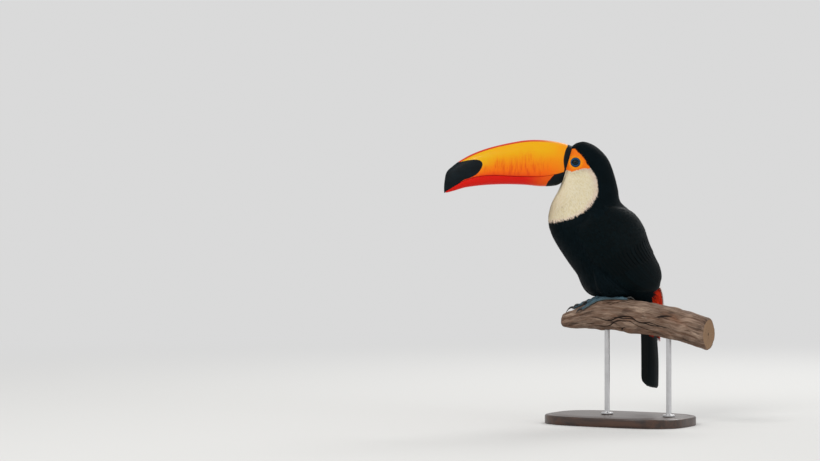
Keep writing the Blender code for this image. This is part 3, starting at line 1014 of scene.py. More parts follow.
# ---- eyes
@dataclass(frozen=True)
class EyePlace:
    """Where an eye sits in the head and the shape of the bare rings round it."""

    x: float = -0.0480  # on the head's own axes
    z: float = 0.2096
    radius: float = 0.0062
    proud: float = 0.0016
    opening: float = 0.00415
    ring: float = 0.0078  # the outer edge of the blue ring

    def centre(self, side: int) -> tuple[Array, Array]:
        """The ball's centre: straight in from the head's surface by its radius less its rise.

        Args:
            side: 1 for the bird's left, -1 for its right.

        Returns:
            The place, and the outward direction of the surface there.
        """
        along, around = np.linspace(0, 3, 61)[:, None], np.linspace(0, math.pi, 91)[None, :] * side
        grid = BODY.point(along, around)
        number = np.unravel_index(self.off(grid).argmin(), grid.shape[:2])
        out = BODY.normal(along[number[0], 0], around[0, number[1]])
        target = on_head([self.x, 0, self.z])
        surface = np.array([target[0], grid[number][1], target[2]])
        return surface - out * (self.radius - self.proud), out

    def off(self, points: Array) -> Array:
        """How far places lie from the line through both eyes."""
        target = on_head([self.x, 0, self.z])
        return np.hypot(points[..., 0] - target[0], points[..., 2] - target[2])


EYE = EyePlace()


# ---- the skin
@dataclass(frozen=True)
class Skin:
    """One closed skin under all of the feathers, bare round the eyes."""

    head_rows: int = 150
    head_ends: float = 4.2
    body_rows: int = 150
    columns: int = 270
    around_eye: int = 120
    rings: int = 64
    patch: float = 0.0097  # the fine disc of bare skin round an eye reaches this far
    late: float = 0.36  # how much further back white and red start on it than on the coat

    def surface(self, along: Array, around: Array) -> Array:
        """The plumage drawn in by the coat's depth and hollowed under the eyes' discs.

        Args:
            along: station.
            around: angle from the back.

        Returns:
            Places, xyz last.
        """
        along, around = np.broadcast_arrays(along, around)
        sunk = 0.15 * np.minimum(BODY.raised(along, around), 0.006)
        height = BODY.swell(along, around) - sunk - DEPTH.at(along, around)
        points = BODY.over(along, around, height)
        hollow = 0.0030 * (1 - step(self.patch * 0.70, self.patch * 0.99, EYE.off(points)))
        hollow = hollow * (along < self.head_ends) * (np.abs(points[..., 1] - GRIP[1]) > 0.008)
        points = points - BODY.normal(along, around) * hollow[..., None]
        return BRANCH.cleared(points, OFF_BARK)[0]

    def disc(self, side: int) -> tuple[Array, dict[str, Array]]:
        """Bare skin in rings from the eye's rim outwards.

        The height over the head's surface is a rounded lid rim, a ring that rises and falls as
        a sine with fine folds on it, a groove, and a fade down under the skin beyond it.

        Args:
            side: 1 for the bird's left, -1 for its right.

        Returns:
            Places as ring, point, and the markings there.
        """
        turn = turns(self.around_eye)
        share = np.linspace(0, 1, self.rings)[:, None]
        lid = 1 + 0.05 * np.cos(2 * turn) - 0.05 * bell(wrapped(turn - 1.6), 0.8)
        inner = EYE.opening * lid - 0.0004
        radius = inner + (self.patch - inner) * share**1.15
        centre = on_head([EYE.x, 0, EYE.z])
        x = centre[0] + radius * np.cos(turn)
        z = centre[2] + radius * np.sin(turn)
        along, around = self.find(x, z, side)
        edge = EYE.opening * lid
        rim = 0.00085 * bell(radius - edge - 0.0003, 0.00042)
        swell = np.clip((radius - edge) / (EYE.ring - edge), 0, 1)
        ring = 0.00075 * np.sin(math.pi * swell) ** 0.8 * (radius < EYE.ring + 0.0004)
        circle = [radius * 2.2, 0.0036 * np.cos(turn), 0.0036 * np.sin(turn)]
        fold = Ripple(61, 0.0030, 14, 0.4).at(np.stack(np.broadcast_arrays(*circle), -1))
        folds = 0.00012 * fold * np.sin(math.pi * swell)
        groove = -0.00035 * bell(radius - EYE.ring, 0.00045)
        inwards = -0.0016 * (1 - step(0.0, 0.09, share))
        fade = -0.0009 * step(0.72, 1.0, share)
        height = -0.0004 + rim + ring + folds + groove + inwards + fade
        values = MARKINGS.at(along, around)
        values |= {"eye": radius * TO_MM, "rim": (radius - edge) * TO_MM, "fold": fold}
        return BODY.over(along, around, height), values

    def find(self, x: Array, z: Array, side: int) -> tuple[Array, Array]:
        """Along and around of the head's surface at an x and z, by stepping along its slopes.

        Args:
            x: model x.
            z: model z.
            side: 1 for the bird's left, -1 for its right.

        Returns:
            Along and around.
        """
        along = np.full(x.shape, 1.9)
        around = np.full(x.shape, math.radians(82)) * side
        near = 0.01
        for _ in range(14):
            here = BODY.point(along, around)
            by_along = (BODY.point(along + near, around) - here) / near
            by_around = (BODY.point(along, around + near) - here) / near
            off_x, off_z = x - here[..., 0], z - here[..., 2]
            area = by_along[..., 0] * by_around[..., 2] - by_along[..., 2] * by_around[..., 0]
            area = np.where(np.abs(area) < 1e-7, 1e-7, area)
            along = along + (off_x * by_around[..., 2] - off_z * by_around[..., 0]) / area * 0.8
            around = around + (off_z * by_along[..., 0] - off_x * by_along[..., 2]) / area * 0.8
            along = np.clip(along, -0.6, 5)
        return along, around

    def build(self, finish: bpy.types.Material) -> None:
        """Makes the skin, with an end cap inside the bill and one at the tips of the coverts.

        Args:
            finish: its material.
        """
        head = np.linspace(0, self.head_ends, self.head_rows)
        body = np.linspace(self.head_ends, LAST, self.body_rows + 1)[1:]
        along = np.concatenate([head, body])[:, None]
        around = turns(self.columns)
        points = self.surface(along, around)
        caps = []
        inwards = np.array([-0.004, 0.0, 0.0])  # the face's cap bulges into the bill
        for ring, shares, way in (
            (points[0], (0.25, 0.85, 0.93), inwards), (points[-1], (0.8, 0.55, 0.25), 0 * inwards)
        ):  # fmt: skip
            middle = ring.mean(0)
            caps.append([middle + (ring - middle) * s + way * (1.2 - s) * 3 for s in shares])
        rings = np.concatenate([caps[0], points, caps[1]])
        stations = np.concatenate([np.zeros((3, 1)), along, np.full((3, 1), LAST)])
        stations, around = np.broadcast_arrays(stations, around)
        values = MARKINGS.at(stations, around)
        under_wing = 0.3 - BODY.raised(stations, around) * TO_MM
        late = MARKINGS.at(stations - self.late, around)
        for name in ("white", "red"):
            values[name] = np.minimum(late[name], under_wing)
        values["eye"] = EYE.off(rings) * TO_MM + 20 * (stations > self.head_ends)
        values |= {"rim": np.full(stations.shape, 9.0), "fold": np.zeros(stations.shape)}
        form = Form("skin")
        form.add_tube(rings, values)
        for side in (1, -1):
            disc, own = self.disc(side)
            form.add(disc, [grid_faces(*disc.shape[:2], True)], own, inside_out=side > 0)
        flesh = ("head", "neck", "trunk", "thigh_l", "thigh_r", "wing_l", "wing_r")
        form.build(finish, "black_plumage", *flesh, "coverts_upper", "coverts_under")


# ---- feathers
@dataclass(frozen=True)
class Blade:
    """One feather's outline: half widths at shares of its length, closed by a flat underside."""

    shares: tuple[float, ...]
    widths: tuple[float, ...]
    columns: tuple[float, ...] = (-1.0, 0.0, 1.0)

    def faces(self) -> tuple[Array, Array]:
        """The quads and triangles of one blade, whose last point is its tip.

        Returns:
            Quads, and triangles.
        """
        rows, across = len(self.shares), len(self.columns)
        top = grid_faces(rows, across)
        left = np.arange(rows) * across
        right = left + across - 1
        under = np.stack([left[:-1], left[1:], right[1:], right[:-1]], -1)
        tip = rows * across
        last = (rows - 1) * across + np.arange(across)
        fan = np.stack([last[:-1], last[1:], np.full(across - 1, tip)], -1)
        closing = [[last[-1], last[0], tip]]
        root = [[0, k + 1, k] for k in range(1, across - 1)]
        return np.concatenate([top, under]), np.concatenate([fan, closing, root]).astype(int)

    def grid(self) -> tuple[Array, Array, Array]:
        """Share along, place across and half width of every point, the tip last.

        Returns:
            The three, point by point.
        """
        rows, across = len(self.shares), len(self.columns)
        s = np.append(np.repeat(self.shares, across), 1.0)
        q = np.append(np.tile(self.columns, rows), 0.0)
        w = np.append(np.repeat(self.widths, across), 0.0)
        return s, q, w


@dataclass
class Feathers:
    """Everything that sets a group of feathers, one number for each feather."""

    first: Array  # the root's place on its surface
    second: Array
    length: Array
    width: Array
    yaw: Array
    root: Array  # height of the root and of the tip, metres
    tip: Array
    curl: Array  # how far the tip swings aside, as a share of the length
    camber: float = 0.05
    spread: float = 0.0  # how unevenly the tips stand

    def chosen(self, keep: Array) -> "Feathers":
        """The feathers that a mask keeps."""
        rows = [self.first, self.second, self.length, self.width, self.yaw, self.root, self.tip]
        return Feathers(*[row[keep] for row in [*rows, self.curl]], self.camber, self.spread)


def bake_map(along: Array, around: Array, s: Array, q: Array) -> Array:
    """Each feather as a patch 0.003 across at its root's place on an unwrap of the skin.

    Args:
        along: the roots' stations.
        around: the roots' angles.
        s: share along for each point of a blade.
        q: place across for each point of a blade.

    Returns:
        UV as feather, point, two.
    """
    u = np.mod(around / (2 * math.pi), 1)[:, None] * 0.992 + 0.004 + q * 0.0015
    v = np.clip(along / 18.0, 0, 1)[:, None] * 0.992 + 0.004 + (s - 0.5) * 0.003
    return np.stack(np.broadcast_arrays(u, v), -1)


def add_blades(
    form: Form,
    surface: Surface,
    blade: Blade,
    points: Array,
    roots: tuple[Array, Array],
    values: Mapping[str, Array],
) -> None:
    """Adds feathers to a form, with their values and their two maps.

    Args:
        form: where they go.
        surface: what they are rooted on.
        blade: their outline.
        points: feather, point, xyz.
        roots: the surface's two parameters at each root.
        values: one number for each feather by attribute name.
    """
    s, q, _ = blade.grid()
    count, each = points.shape[:2]
    offsets = np.arange(count)[:, None, None] * each
    faces = [(block[None] + offsets).reshape(-1, block.shape[1]) for block in blade.faces()]
    plain = dict.fromkeys(("bib", "bare", "white", "red"), np.full(count, UNMARKED))
    every = {name: np.repeat(value, each) for name, value in {**plain, **values}.items()}
    vane = np.broadcast_to(np.stack([q * 0.5 + 0.5, s], -1), (count, each, 2))
    maps = {"OFBake": bake_map(*surface.station(*roots), s, q), "Vane": vane}
    form.add(points, faces, every, maps, inside_out=surface.side < 0)


WING_REACH = (5.2, 5.6, 6.0, 6.2, 6.35, 6.5, 6.7, 6.85, 6.9, 6.9, 6.3)  # by share across
CRISP = 60.0  # the angle of a feather's sharp edges, degrees
MOST_MOVED = 0.011  # a feather that the branch would move further is left out
ROUND = Blade((0.0, 0.30, 0.58, 0.80, 0.94), (0.40, 0.82, 1.0, 0.90, 0.55))
FINE = Blade((0.0, 0.40, 0.72, 0.90), (0.55, 1.0, 0.68, 0.30))
SOFT = Blade((0.0, 0.35, 0.72, 0.90), (0.3, 1.0, 0.66, 0.32))


class Coat:
    """Lays blades on a surface, rooted in the skin and lying back along the bird."""

    def __init__(self, surface: Surface, blade: Blade, seed: int) -> None:
        """Keeps the surface, the blade's outline and a seeded source of small differences."""
        self.surface = surface
        self.blade = blade
        self.pick = np.random.default_rng(seed)

    def points(self, group: Feathers) -> Array:
        """The blades' points.

        Within the surface's own plane a point lies at share s of the length and q half widths
        aside, turned by the yaw and swung by curl s^2. Its height rises from the root's to the
        tip's as 1 - (1 - s)^1.7, and the middle stands over the edges by camber (1 - q^2).

        Args:
            group: the feathers.

        Returns:
            Places as feather, point, xyz.
        """
        s, q, w = self.blade.grid()
        near = 0.01
        zero = np.zeros_like(group.first)
        here = self.surface.place(group.first, group.second, zero)
        by_first = (self.surface.place(group.first + near, group.second, zero) - here) / near
        by_second = (self.surface.place(group.first, group.second + near, zero) - here) / near
        long = np.linalg.norm(by_first, axis=-1)
        ahead = by_first / long[:, None]
        lean = (by_second * ahead).sum(-1)
        aside = np.linalg.norm(by_second - ahead * lean[:, None], axis=-1)
        cos, sin = np.cos(group.yaw)[:, None], np.sin(group.yaw)[:, None]
        run, off = group.length[:, None] * s, group.width[:, None] / 2 * w * q
        off = off + (group.curl * group.length)[:, None] * s**2
        second = (run * sin + off * cos) / aside[:, None]
        first = (run * cos - off * sin - second * lean[:, None]) / long[:, None]
        uneven = self.pick.normal(0, 1, (len(group.first), 1)) * group.spread * s**2
        height = group.root[:, None] + (group.tip - group.root)[:, None] * (1 - (1 - s) ** 1.7)
        camber = group.camber * group.width[:, None] * w * (1 - q**2)
        height = height + camber * (0.3 + 0.7 * (1 - s))
        return self.surface.place(
            group.first[:, None] + first, group.second[:, None] + second, height + uneven
        )

    def lay(self, form: Form, group: Feathers, marked: bool = True, gap: float = 0.0005) -> None:
        """Adds a group of feathers to a form, with their markings and maps.

        Args:
            form: where they go.
            group: the feathers.
            marked: whether the plumage's markings colour them.
            gap: how near to the bark they may come.
        """
        if not len(group.first):
            return
        points, moved = BRANCH.cleared(self.points(group), gap)
        keep = moved.max(1) < MOST_MOVED
        group, points = group.chosen(keep), points[keep]
        roots, values = (group.first, group.second), {}
        if marked:
            uneven = self.pick.normal(0, 0.35, len(points))
            marks = MARKINGS.at(*self.surface.station(*roots))
            values = {name: value + uneven for name, value in marks.items()}
        values["shade"] = self.pick.uniform(0, 1, len(points))
        add_blades(form, self.surface, self.blade, points, roots, values)


@dataclass(frozen=True)
class BodyCoat:
    """The contour feathers of head, neck, trunk, thighs and coverts."""

    columns: int = 300  # round the trunk
    fine_columns: int = 400  # round the bib and head
    fine: float = 0.80  # their spacing as a share
    spacing: tuple = (
        1.30, 1.45, 1.65, 1.8, 1.9, 2.0, 2.3, 2.8, 3.2, 3.5, 3.6, 3.6, 3.5, 3.2, 3.0, 3.0, 3.0,
    )  # millimetres from row to row, by station
    overlap: float = 3.7
    seed: int = 7

    def roots(self, start: float, end: float, count: int, grade: float) -> Feathers:
        """Staggered rows whose distance follows the spacing along every line down the body.

        Args:
            start: the first station.
            end: the last.
            count: how many lines there are round the body.
            grade: the spacing as a share of the table's.

        Returns:
            The feathers.
        """
        along = np.linspace(start, end, 641)
        columns = np.arange(count)
        pitch = 2 * math.pi / count
        around = (columns + 0.5) * pitch
        grid = BODY.point(along[:, None], around[None, :])
        steps = np.linalg.norm(np.diff(grid, axis=0), axis=-1)
        middle = (along[1:] + along[:-1])[:, None] / 2
        numbers = np.cumsum(steps / (smooth(self.spacing, middle) * MM * grade), axis=0)
        numbers = np.concatenate([np.zeros((1, count)), numbers])
        pick = np.random.default_rng(self.seed)
        found = []
        for column in columns:
            rows = np.arange(0.15 + 0.5 * (column % 2), numbers[-1, column], 1.0)
            rows = rows + pick.normal(0, 0.2, len(rows))
            at = np.interp(rows, numbers[:, column], along)
            turn = around[column] + pick.normal(0, 0.25, len(rows)) * pitch
            found.append(np.stack([at, turn]))
        first, second = np.concatenate(found, axis=1)
        gap = smooth(self.spacing, first) * MM * grade
        wide = BODY.point(first, second + pitch / 2) - BODY.point(first, second - pitch / 2)
        count = len(first)
        depth = DEPTH.at(first, second)
        sunk = step(-0.2, 0.3, np.cos(second))  # at the crown the roots start under the bill's rim
        return Feathers(
            first,
            second,
            length=gap * self.overlap * pick.uniform(0.8, 1.2, count),
            width=np.linalg.norm(wide, axis=-1) * 2.0 * pick.uniform(0.75, 1.25, count),
            yaw=pick.normal(0, 0.10, count),
            root=-depth * 1.05 - 0.0010 * (1 - step(-0.15, 0.1, first)) * sunk,
            tip=pick.normal(0, 0.035, count) * depth - 0.0001,
            curl=pick.normal(0, 0.045, count),
            camber=0.035,
            spread=0.00003,
        )

    def build(self, finish: bpy.types.Material) -> None:
        """Makes the coat in tracts: bib, head and neck, and the trunk's two sides.

        Args:
            finish: their material.
        """
        grades = ((-0.55, 7.3, self.fine_columns, self.fine), (6.0, 16.0, self.columns, 1.0))
        seed = self.seed
        for number, grade in enumerate(grades):
            every = self.roots(*grade)
            marks = MARKINGS.at(every.first, every.second)
            u, v = WING.within(every.first, every.second)
            reach = smooth(WING_REACH, np.clip(v, 0, 1) * (len(WING_REACH) - 1))
            covered = (u > 0.15) & (u < reach - 1.3) & (v > 0.03) & (v < 0.965)
            under = 0.0026 * ((u > reach - 1.4) & (u < reach + 0.1) & (v > 0.0) & (v < 0.99))
            every.root, every.tip = every.root - under, every.tip - under
            bare = (marks["bare"] > 0.5) | (eye_distance(every) < EYE.ring + 0.001)
            small = np.where(marks["bare"] > -6, np.clip(0.5 - 0.09 * marks["bare"], 0.5, 1), 1)
            every.length, every.width = every.length * small, every.width * small
            soft = (marks["white"] > 4.0) | (marks["red"] > 2.5)
            bib = marks["bib"] > 0
            left = np.mod(every.second, 2 * math.pi) < math.pi
            keep = ~covered & ~bare & ~soft
            if number:
                parts = {"trunk": ~bib & (every.first >= 6.2)}
            else:
                parts = {"bib": bib, "head": ~bib & (every.first < 6.2)}
            for name, part in parts.items():
                for side, here in (("l", left), ("r", ~left)):
                    form = Form(f"coat_{name}_{side}", CRISP)
                    coat = Coat(BODY, FINE, seed)
                    coat.lay(form, every.chosen(keep & part & here), marked=not number)
                    seed += 1
                    form.build(finish, "black_plumage")


def eye_distance(group: Feathers) -> Array:
    """How far the roots on the head lie from the line through both eyes, metres."""
    off = EYE.off(BODY.point(group.first, group.second))
    return np.where(group.first < 4, off, 1.0)


@dataclass(frozen=True)
class SoftCoverts:
    """The loose feathers at the tail's root: fluffy white ones above, red ones under and beside."""

    mark: str  # the marking that they cover
    spacing: float
    length: float
    width: float
    loose: float  # how far the tips stand out at random
    lobe: float  # how far the middle of each side swells
    seed: int

    def group(self, pick: np.random.Generator) -> Feathers:
        """Roots spread evenly over the end of the plumage by area.

        Args:
            pick: the source of small differences.

        Returns:
            The feathers.
        """
        rows = []
        at = MARKINGS.white_from - 0.40
        while at < 16.05:
            ring = BODY.point(np.full(181, at), np.linspace(0, 2 * math.pi, 181))
            girth = np.linalg.norm(np.diff(ring, axis=0), axis=-1).sum()
            count = int(girth / self.spacing)
            around = (np.arange(count) + pick.uniform(0, 1)) * 2 * math.pi / count
            rows.append(np.stack([np.full(count, at), around + pick.normal(0, 0.02, count)]))
            near = BODY.point(at + 0.05, 1.4) - BODY.point(at, 1.4)
            at += self.spacing * 0.95 / np.linalg.norm(near) * 0.05
        first, second = np.concatenate(rows, axis=1)
        count = len(first)
        first = first + pick.normal(0, 0.02, count)
        end = step(16.4, 14.8, first)
        degrees = np.degrees(np.minimum(np.mod(second, 2 * math.pi), -second % (2 * math.pi)))
        lobes = np.sin(math.pi * np.clip((first - 12.2) / 3.8, 0, 1)) * step(60, 25, degrees)
        lobes = self.lobe * lobes * (1 - 0.6 * np.exp(-((degrees / 8) ** 2)))
        started = step(12.25, 12.75, first)
        loose = np.abs(pick.normal(0, self.loose, count)) * (1 - 0.7 * step(15, 16, first))
        return Feathers(
            first,
            second,
            length=self.length * pick.uniform(0.7, 1.25, count) * (0.6 + 0.4 * end),
            width=self.width * pick.uniform(0.6, 1.3, count),
            yaw=pick.normal(0, 0.16, count),
            root=-0.0030 - 0.0020 * (1 - started),
            tip=loose * started + lobes - 0.0010 * (1 - started),
            curl=pick.normal(0, 0.11, count),
            camber=0.08,
            spread=0.0004,
        )

    def build(self, finish: bpy.types.Material) -> None:
        """Makes the piece.

        Args:
            finish: its material.
        """
        group = self.group(np.random.default_rng(self.seed))
        marks = MARKINGS.at(group.first, group.second)
        form = Form(f"coat_{self.mark}_coverts", CRISP)
        clear = BODY.raised(group.first, group.second) < 0.0015
        group = group.chosen((marks[self.mark] > -0.8) & clear)
        Coat(UnderWing(), SOFT, self.seed + 1).lay(form, group)
        form.build(finish, self.mark + "_coverts")


@dataclass(frozen=True)
class Quills:
    """Long feathers whose paths are set one by one: flight feathers and tail feathers."""

    rows: int = 26
    bend: float = 0.86  # where the rounded end begins
    columns: tuple[float, ...] = (-1.0, -0.72, -0.42, -0.16, -0.05, 0.05, 0.20, 0.50, 0.78, 1.0)
    shaft: float = 0.00032

    def blade(self) -> Blade:
        """An outline that widens quickly and ends round.

        Returns:
            The outline.
        """
        s = np.linspace(0, 1, self.rows)
        s = 0.992 * s * (1.3 - 0.3 * s)
        bend = np.clip((s - self.bend) / (1 - self.bend), 0, 1)
        w = np.minimum(1, 0.35 + 2.2 * s) * np.sqrt(1 - bend**2.2)
        return Blade(tuple(s), tuple(w), self.columns)

    def lay(
        self,
        form: Form,
        surface: Surface,
        start: Array,
        end: Array,
        width: Array,
        height: Array,
        tilt: Array,
        seed: int,
    ) -> None:
        """Adds feathers that run straight across a surface's own parameters.

        A point lies at the path's share s, aside by q half widths, at the feather's height plus
        tilt q, a camber, and a ridge along the shaft.

        Args:
            form: where they go.
            surface: what they lie on.
            start: the root's two parameters, feather by feather.
            end: the tip's two parameters.
            width: full width in metres.
            height: of the middle over the surface.
            tilt: how much higher the far edge is than the middle.
            seed: for the shade of each.
        """
        blade = self.blade()
        s, q, w = blade.grid()
        path = start[:, None] + (end - start)[:, None] * s[None, :, None]
        near = 0.02
        zero = np.zeros(path.shape[:2])
        here = surface.place(path[..., 0], path[..., 1], zero)
        beside = surface.place(path[..., 0], path[..., 1] + near, zero)
        scale = np.linalg.norm(beside - here, axis=-1) / near
        second = path[..., 1] + q * w * width[:, None] / 2 / scale
        rise = height[:, None] + tilt[:, None] * q * w
        rise = rise + 0.05 * width[:, None] * (1 - q**2) * w
        rise = rise + self.shaft * bell(q, 0.09) * (1 - 0.7 * s)
        points = BRANCH.cleared(surface.place(path[..., 0], second, rise), OFF_BARK)[0]
        shade = np.random.default_rng(seed).uniform(0, 1, len(points))
        add_blades(form, surface, blade, points, (start[:, 0], start[:, 1]), {"shade": shade})


@dataclass(frozen=True)
class WingCoat:
    """A folded wing's feathers: small coverts, greater coverts, then the flight feathers."""

    side: int

    def small(self, pick: np.random.Generator) -> Feathers:
        """Staggered rows of lesser and median coverts, larger towards the flight feathers.

        Args:
            pick: the source of small differences.

        Returns:
            The feathers.
        """
        u, found, odd = -0.05, [], 0
        face = WingFace(1)
        while u < 3.55:
            size = (1.9 + 1.7 * step(0.3, 3.4, np.array(u))) * MM
            v = np.linspace(0.0, 1.0, 101)
            edge = face.place(np.full(101, u), v, np.zeros(101))
            girth = np.linalg.norm(np.diff(edge, axis=0), axis=-1).sum()
            count = max(int(girth / size), 4)
            at = (np.arange(count) + 0.25 + 0.5 * odd) / count
            found.append(np.stack([np.full(count, u), at, np.full(count, size)]))
            near = face.place(np.array(u + 0.05), np.array(0.5), 0.0)
            ahead = np.linalg.norm(near - face.place(np.array(u), np.array(0.5), 0.0)) / 0.05
            u, odd = u + float(size * 1.15 / ahead), 1 - odd
        first, second, size = np.concatenate(found, axis=1)
        count = len(first)
        first = first + pick.normal(0, 0.015, count)
        second = np.clip(second + pick.normal(0, 0.004, count), 0.0, 1.0)
        return Feathers(
            first,
            second,
            length=size * 4.2 * pick.uniform(0.9, 1.1, count),
            width=size * 1.85 * pick.uniform(0.88, 1.12, count),
            yaw=pick.normal(0, 0.07, count),
            root=np.full(count, -0.0028),
            tip=-0.0001 + pick.normal(0, 0.00006, count),
            curl=pick.normal(0, 0.02, count),
            spread=0.00006,
        )

    def build(self, finish: bpy.types.Material) -> None:
        """Makes the wing as one piece.

        Args:
            finish: its material.
        """
        face = WingFace(self.side)
        form = Form("coat_wing_" + SIDES[self.side], CRISP)
        coat = Coat(face, ROUND, 50 + self.side)
        coat.lay(form, self.small(np.random.default_rng(60 + self.side)), False)
        # greater coverts, from the upper edge down
        count = 17
        share = np.linspace(0, 1, count)
        flat = np.ones(count)
        start = np.stack([3.0 + 0.35 * share, 0.07 + 0.85 * share], -1)
        stagger = np.random.default_rng(75).uniform(-0.05, 0.05, count)
        end = np.stack([4.25 + 0.30 * share + stagger, 0.08 + 0.88 * share], -1)
        quills = Quills(bend=0.72)
        quills.lay(form, face, start, end, flat * 0.0112, flat * -0.0005, flat * 0.0012, 70)
        # flight feathers from the innermost to the outermost
        count = 19
        share = np.linspace(0, 1, count)
        flat = np.ones(count)
        start = np.stack([3.30 + 0.50 * share, 0.085 + 0.86 * share], -1)
        reach = smooth([5.35, 5.9, 6.2, 6.35, 6.55, 6.85, 6.98, 6.2], share * 7)
        across = smooth([0.10, 0.20, 0.30, 0.42, 0.54, 0.70, 0.90, 0.975], share * 7)
        end = np.stack([reach, across], -1)
        height = -0.0016 - 0.0010 * share
        width = smooth([0.016, 0.0160, 0.0145, 0.012], share * 3)
        Quills().lay(form, face, start, end, width, height, flat * 0.0016, 71)
        form.build(finish, "wing_plumage")


@dataclass(frozen=True)
class TailCoat:
    """Ten tail feathers, the middle pair on top."""

    pairs: tuple = (0.15, 0.36, 0.55, 0.70, 0.80)  # middles, as shares of the half width
    width: float = 0.0172

    def build(self, finish: bpy.types.Material) -> None:
        """Makes the tail as one piece.

        Args:
            finish: its material.
        """
        form = Form("tail_feathers", CRISP)
        fan = TailFan()
        middles = np.array([side * at for at in self.pairs for side in (1, -1)])
        layer = np.repeat(np.arange(5), 2)
        root = np.stack([np.full(10, 0.05), middles * 0.8], -1)
        reach = 4.17 - 0.07 * layer + np.random.default_rng(82).uniform(-0.02, 0.02, 10)
        end = np.stack([reach, middles * np.where(layer > 2, 0.95, 1.0)], -1)
        height = -0.00020 - 0.00050 * layer
        tilt = np.sign(middles) * 0.00040
        widths = np.full(10, self.width) * (1 - 0.12 * np.abs(middles))
        Quills(34, 0.92, shaft=0.00045).lay(form, fan, root, end, widths, height, tilt, 80)
        form.build(finish, "tail_plumage", "tail")


# ---- the bill
class Half(Enum):
    """The two halves of the bill."""

    UPPER = "bill_upper"
    LOWER = "bill_lower"


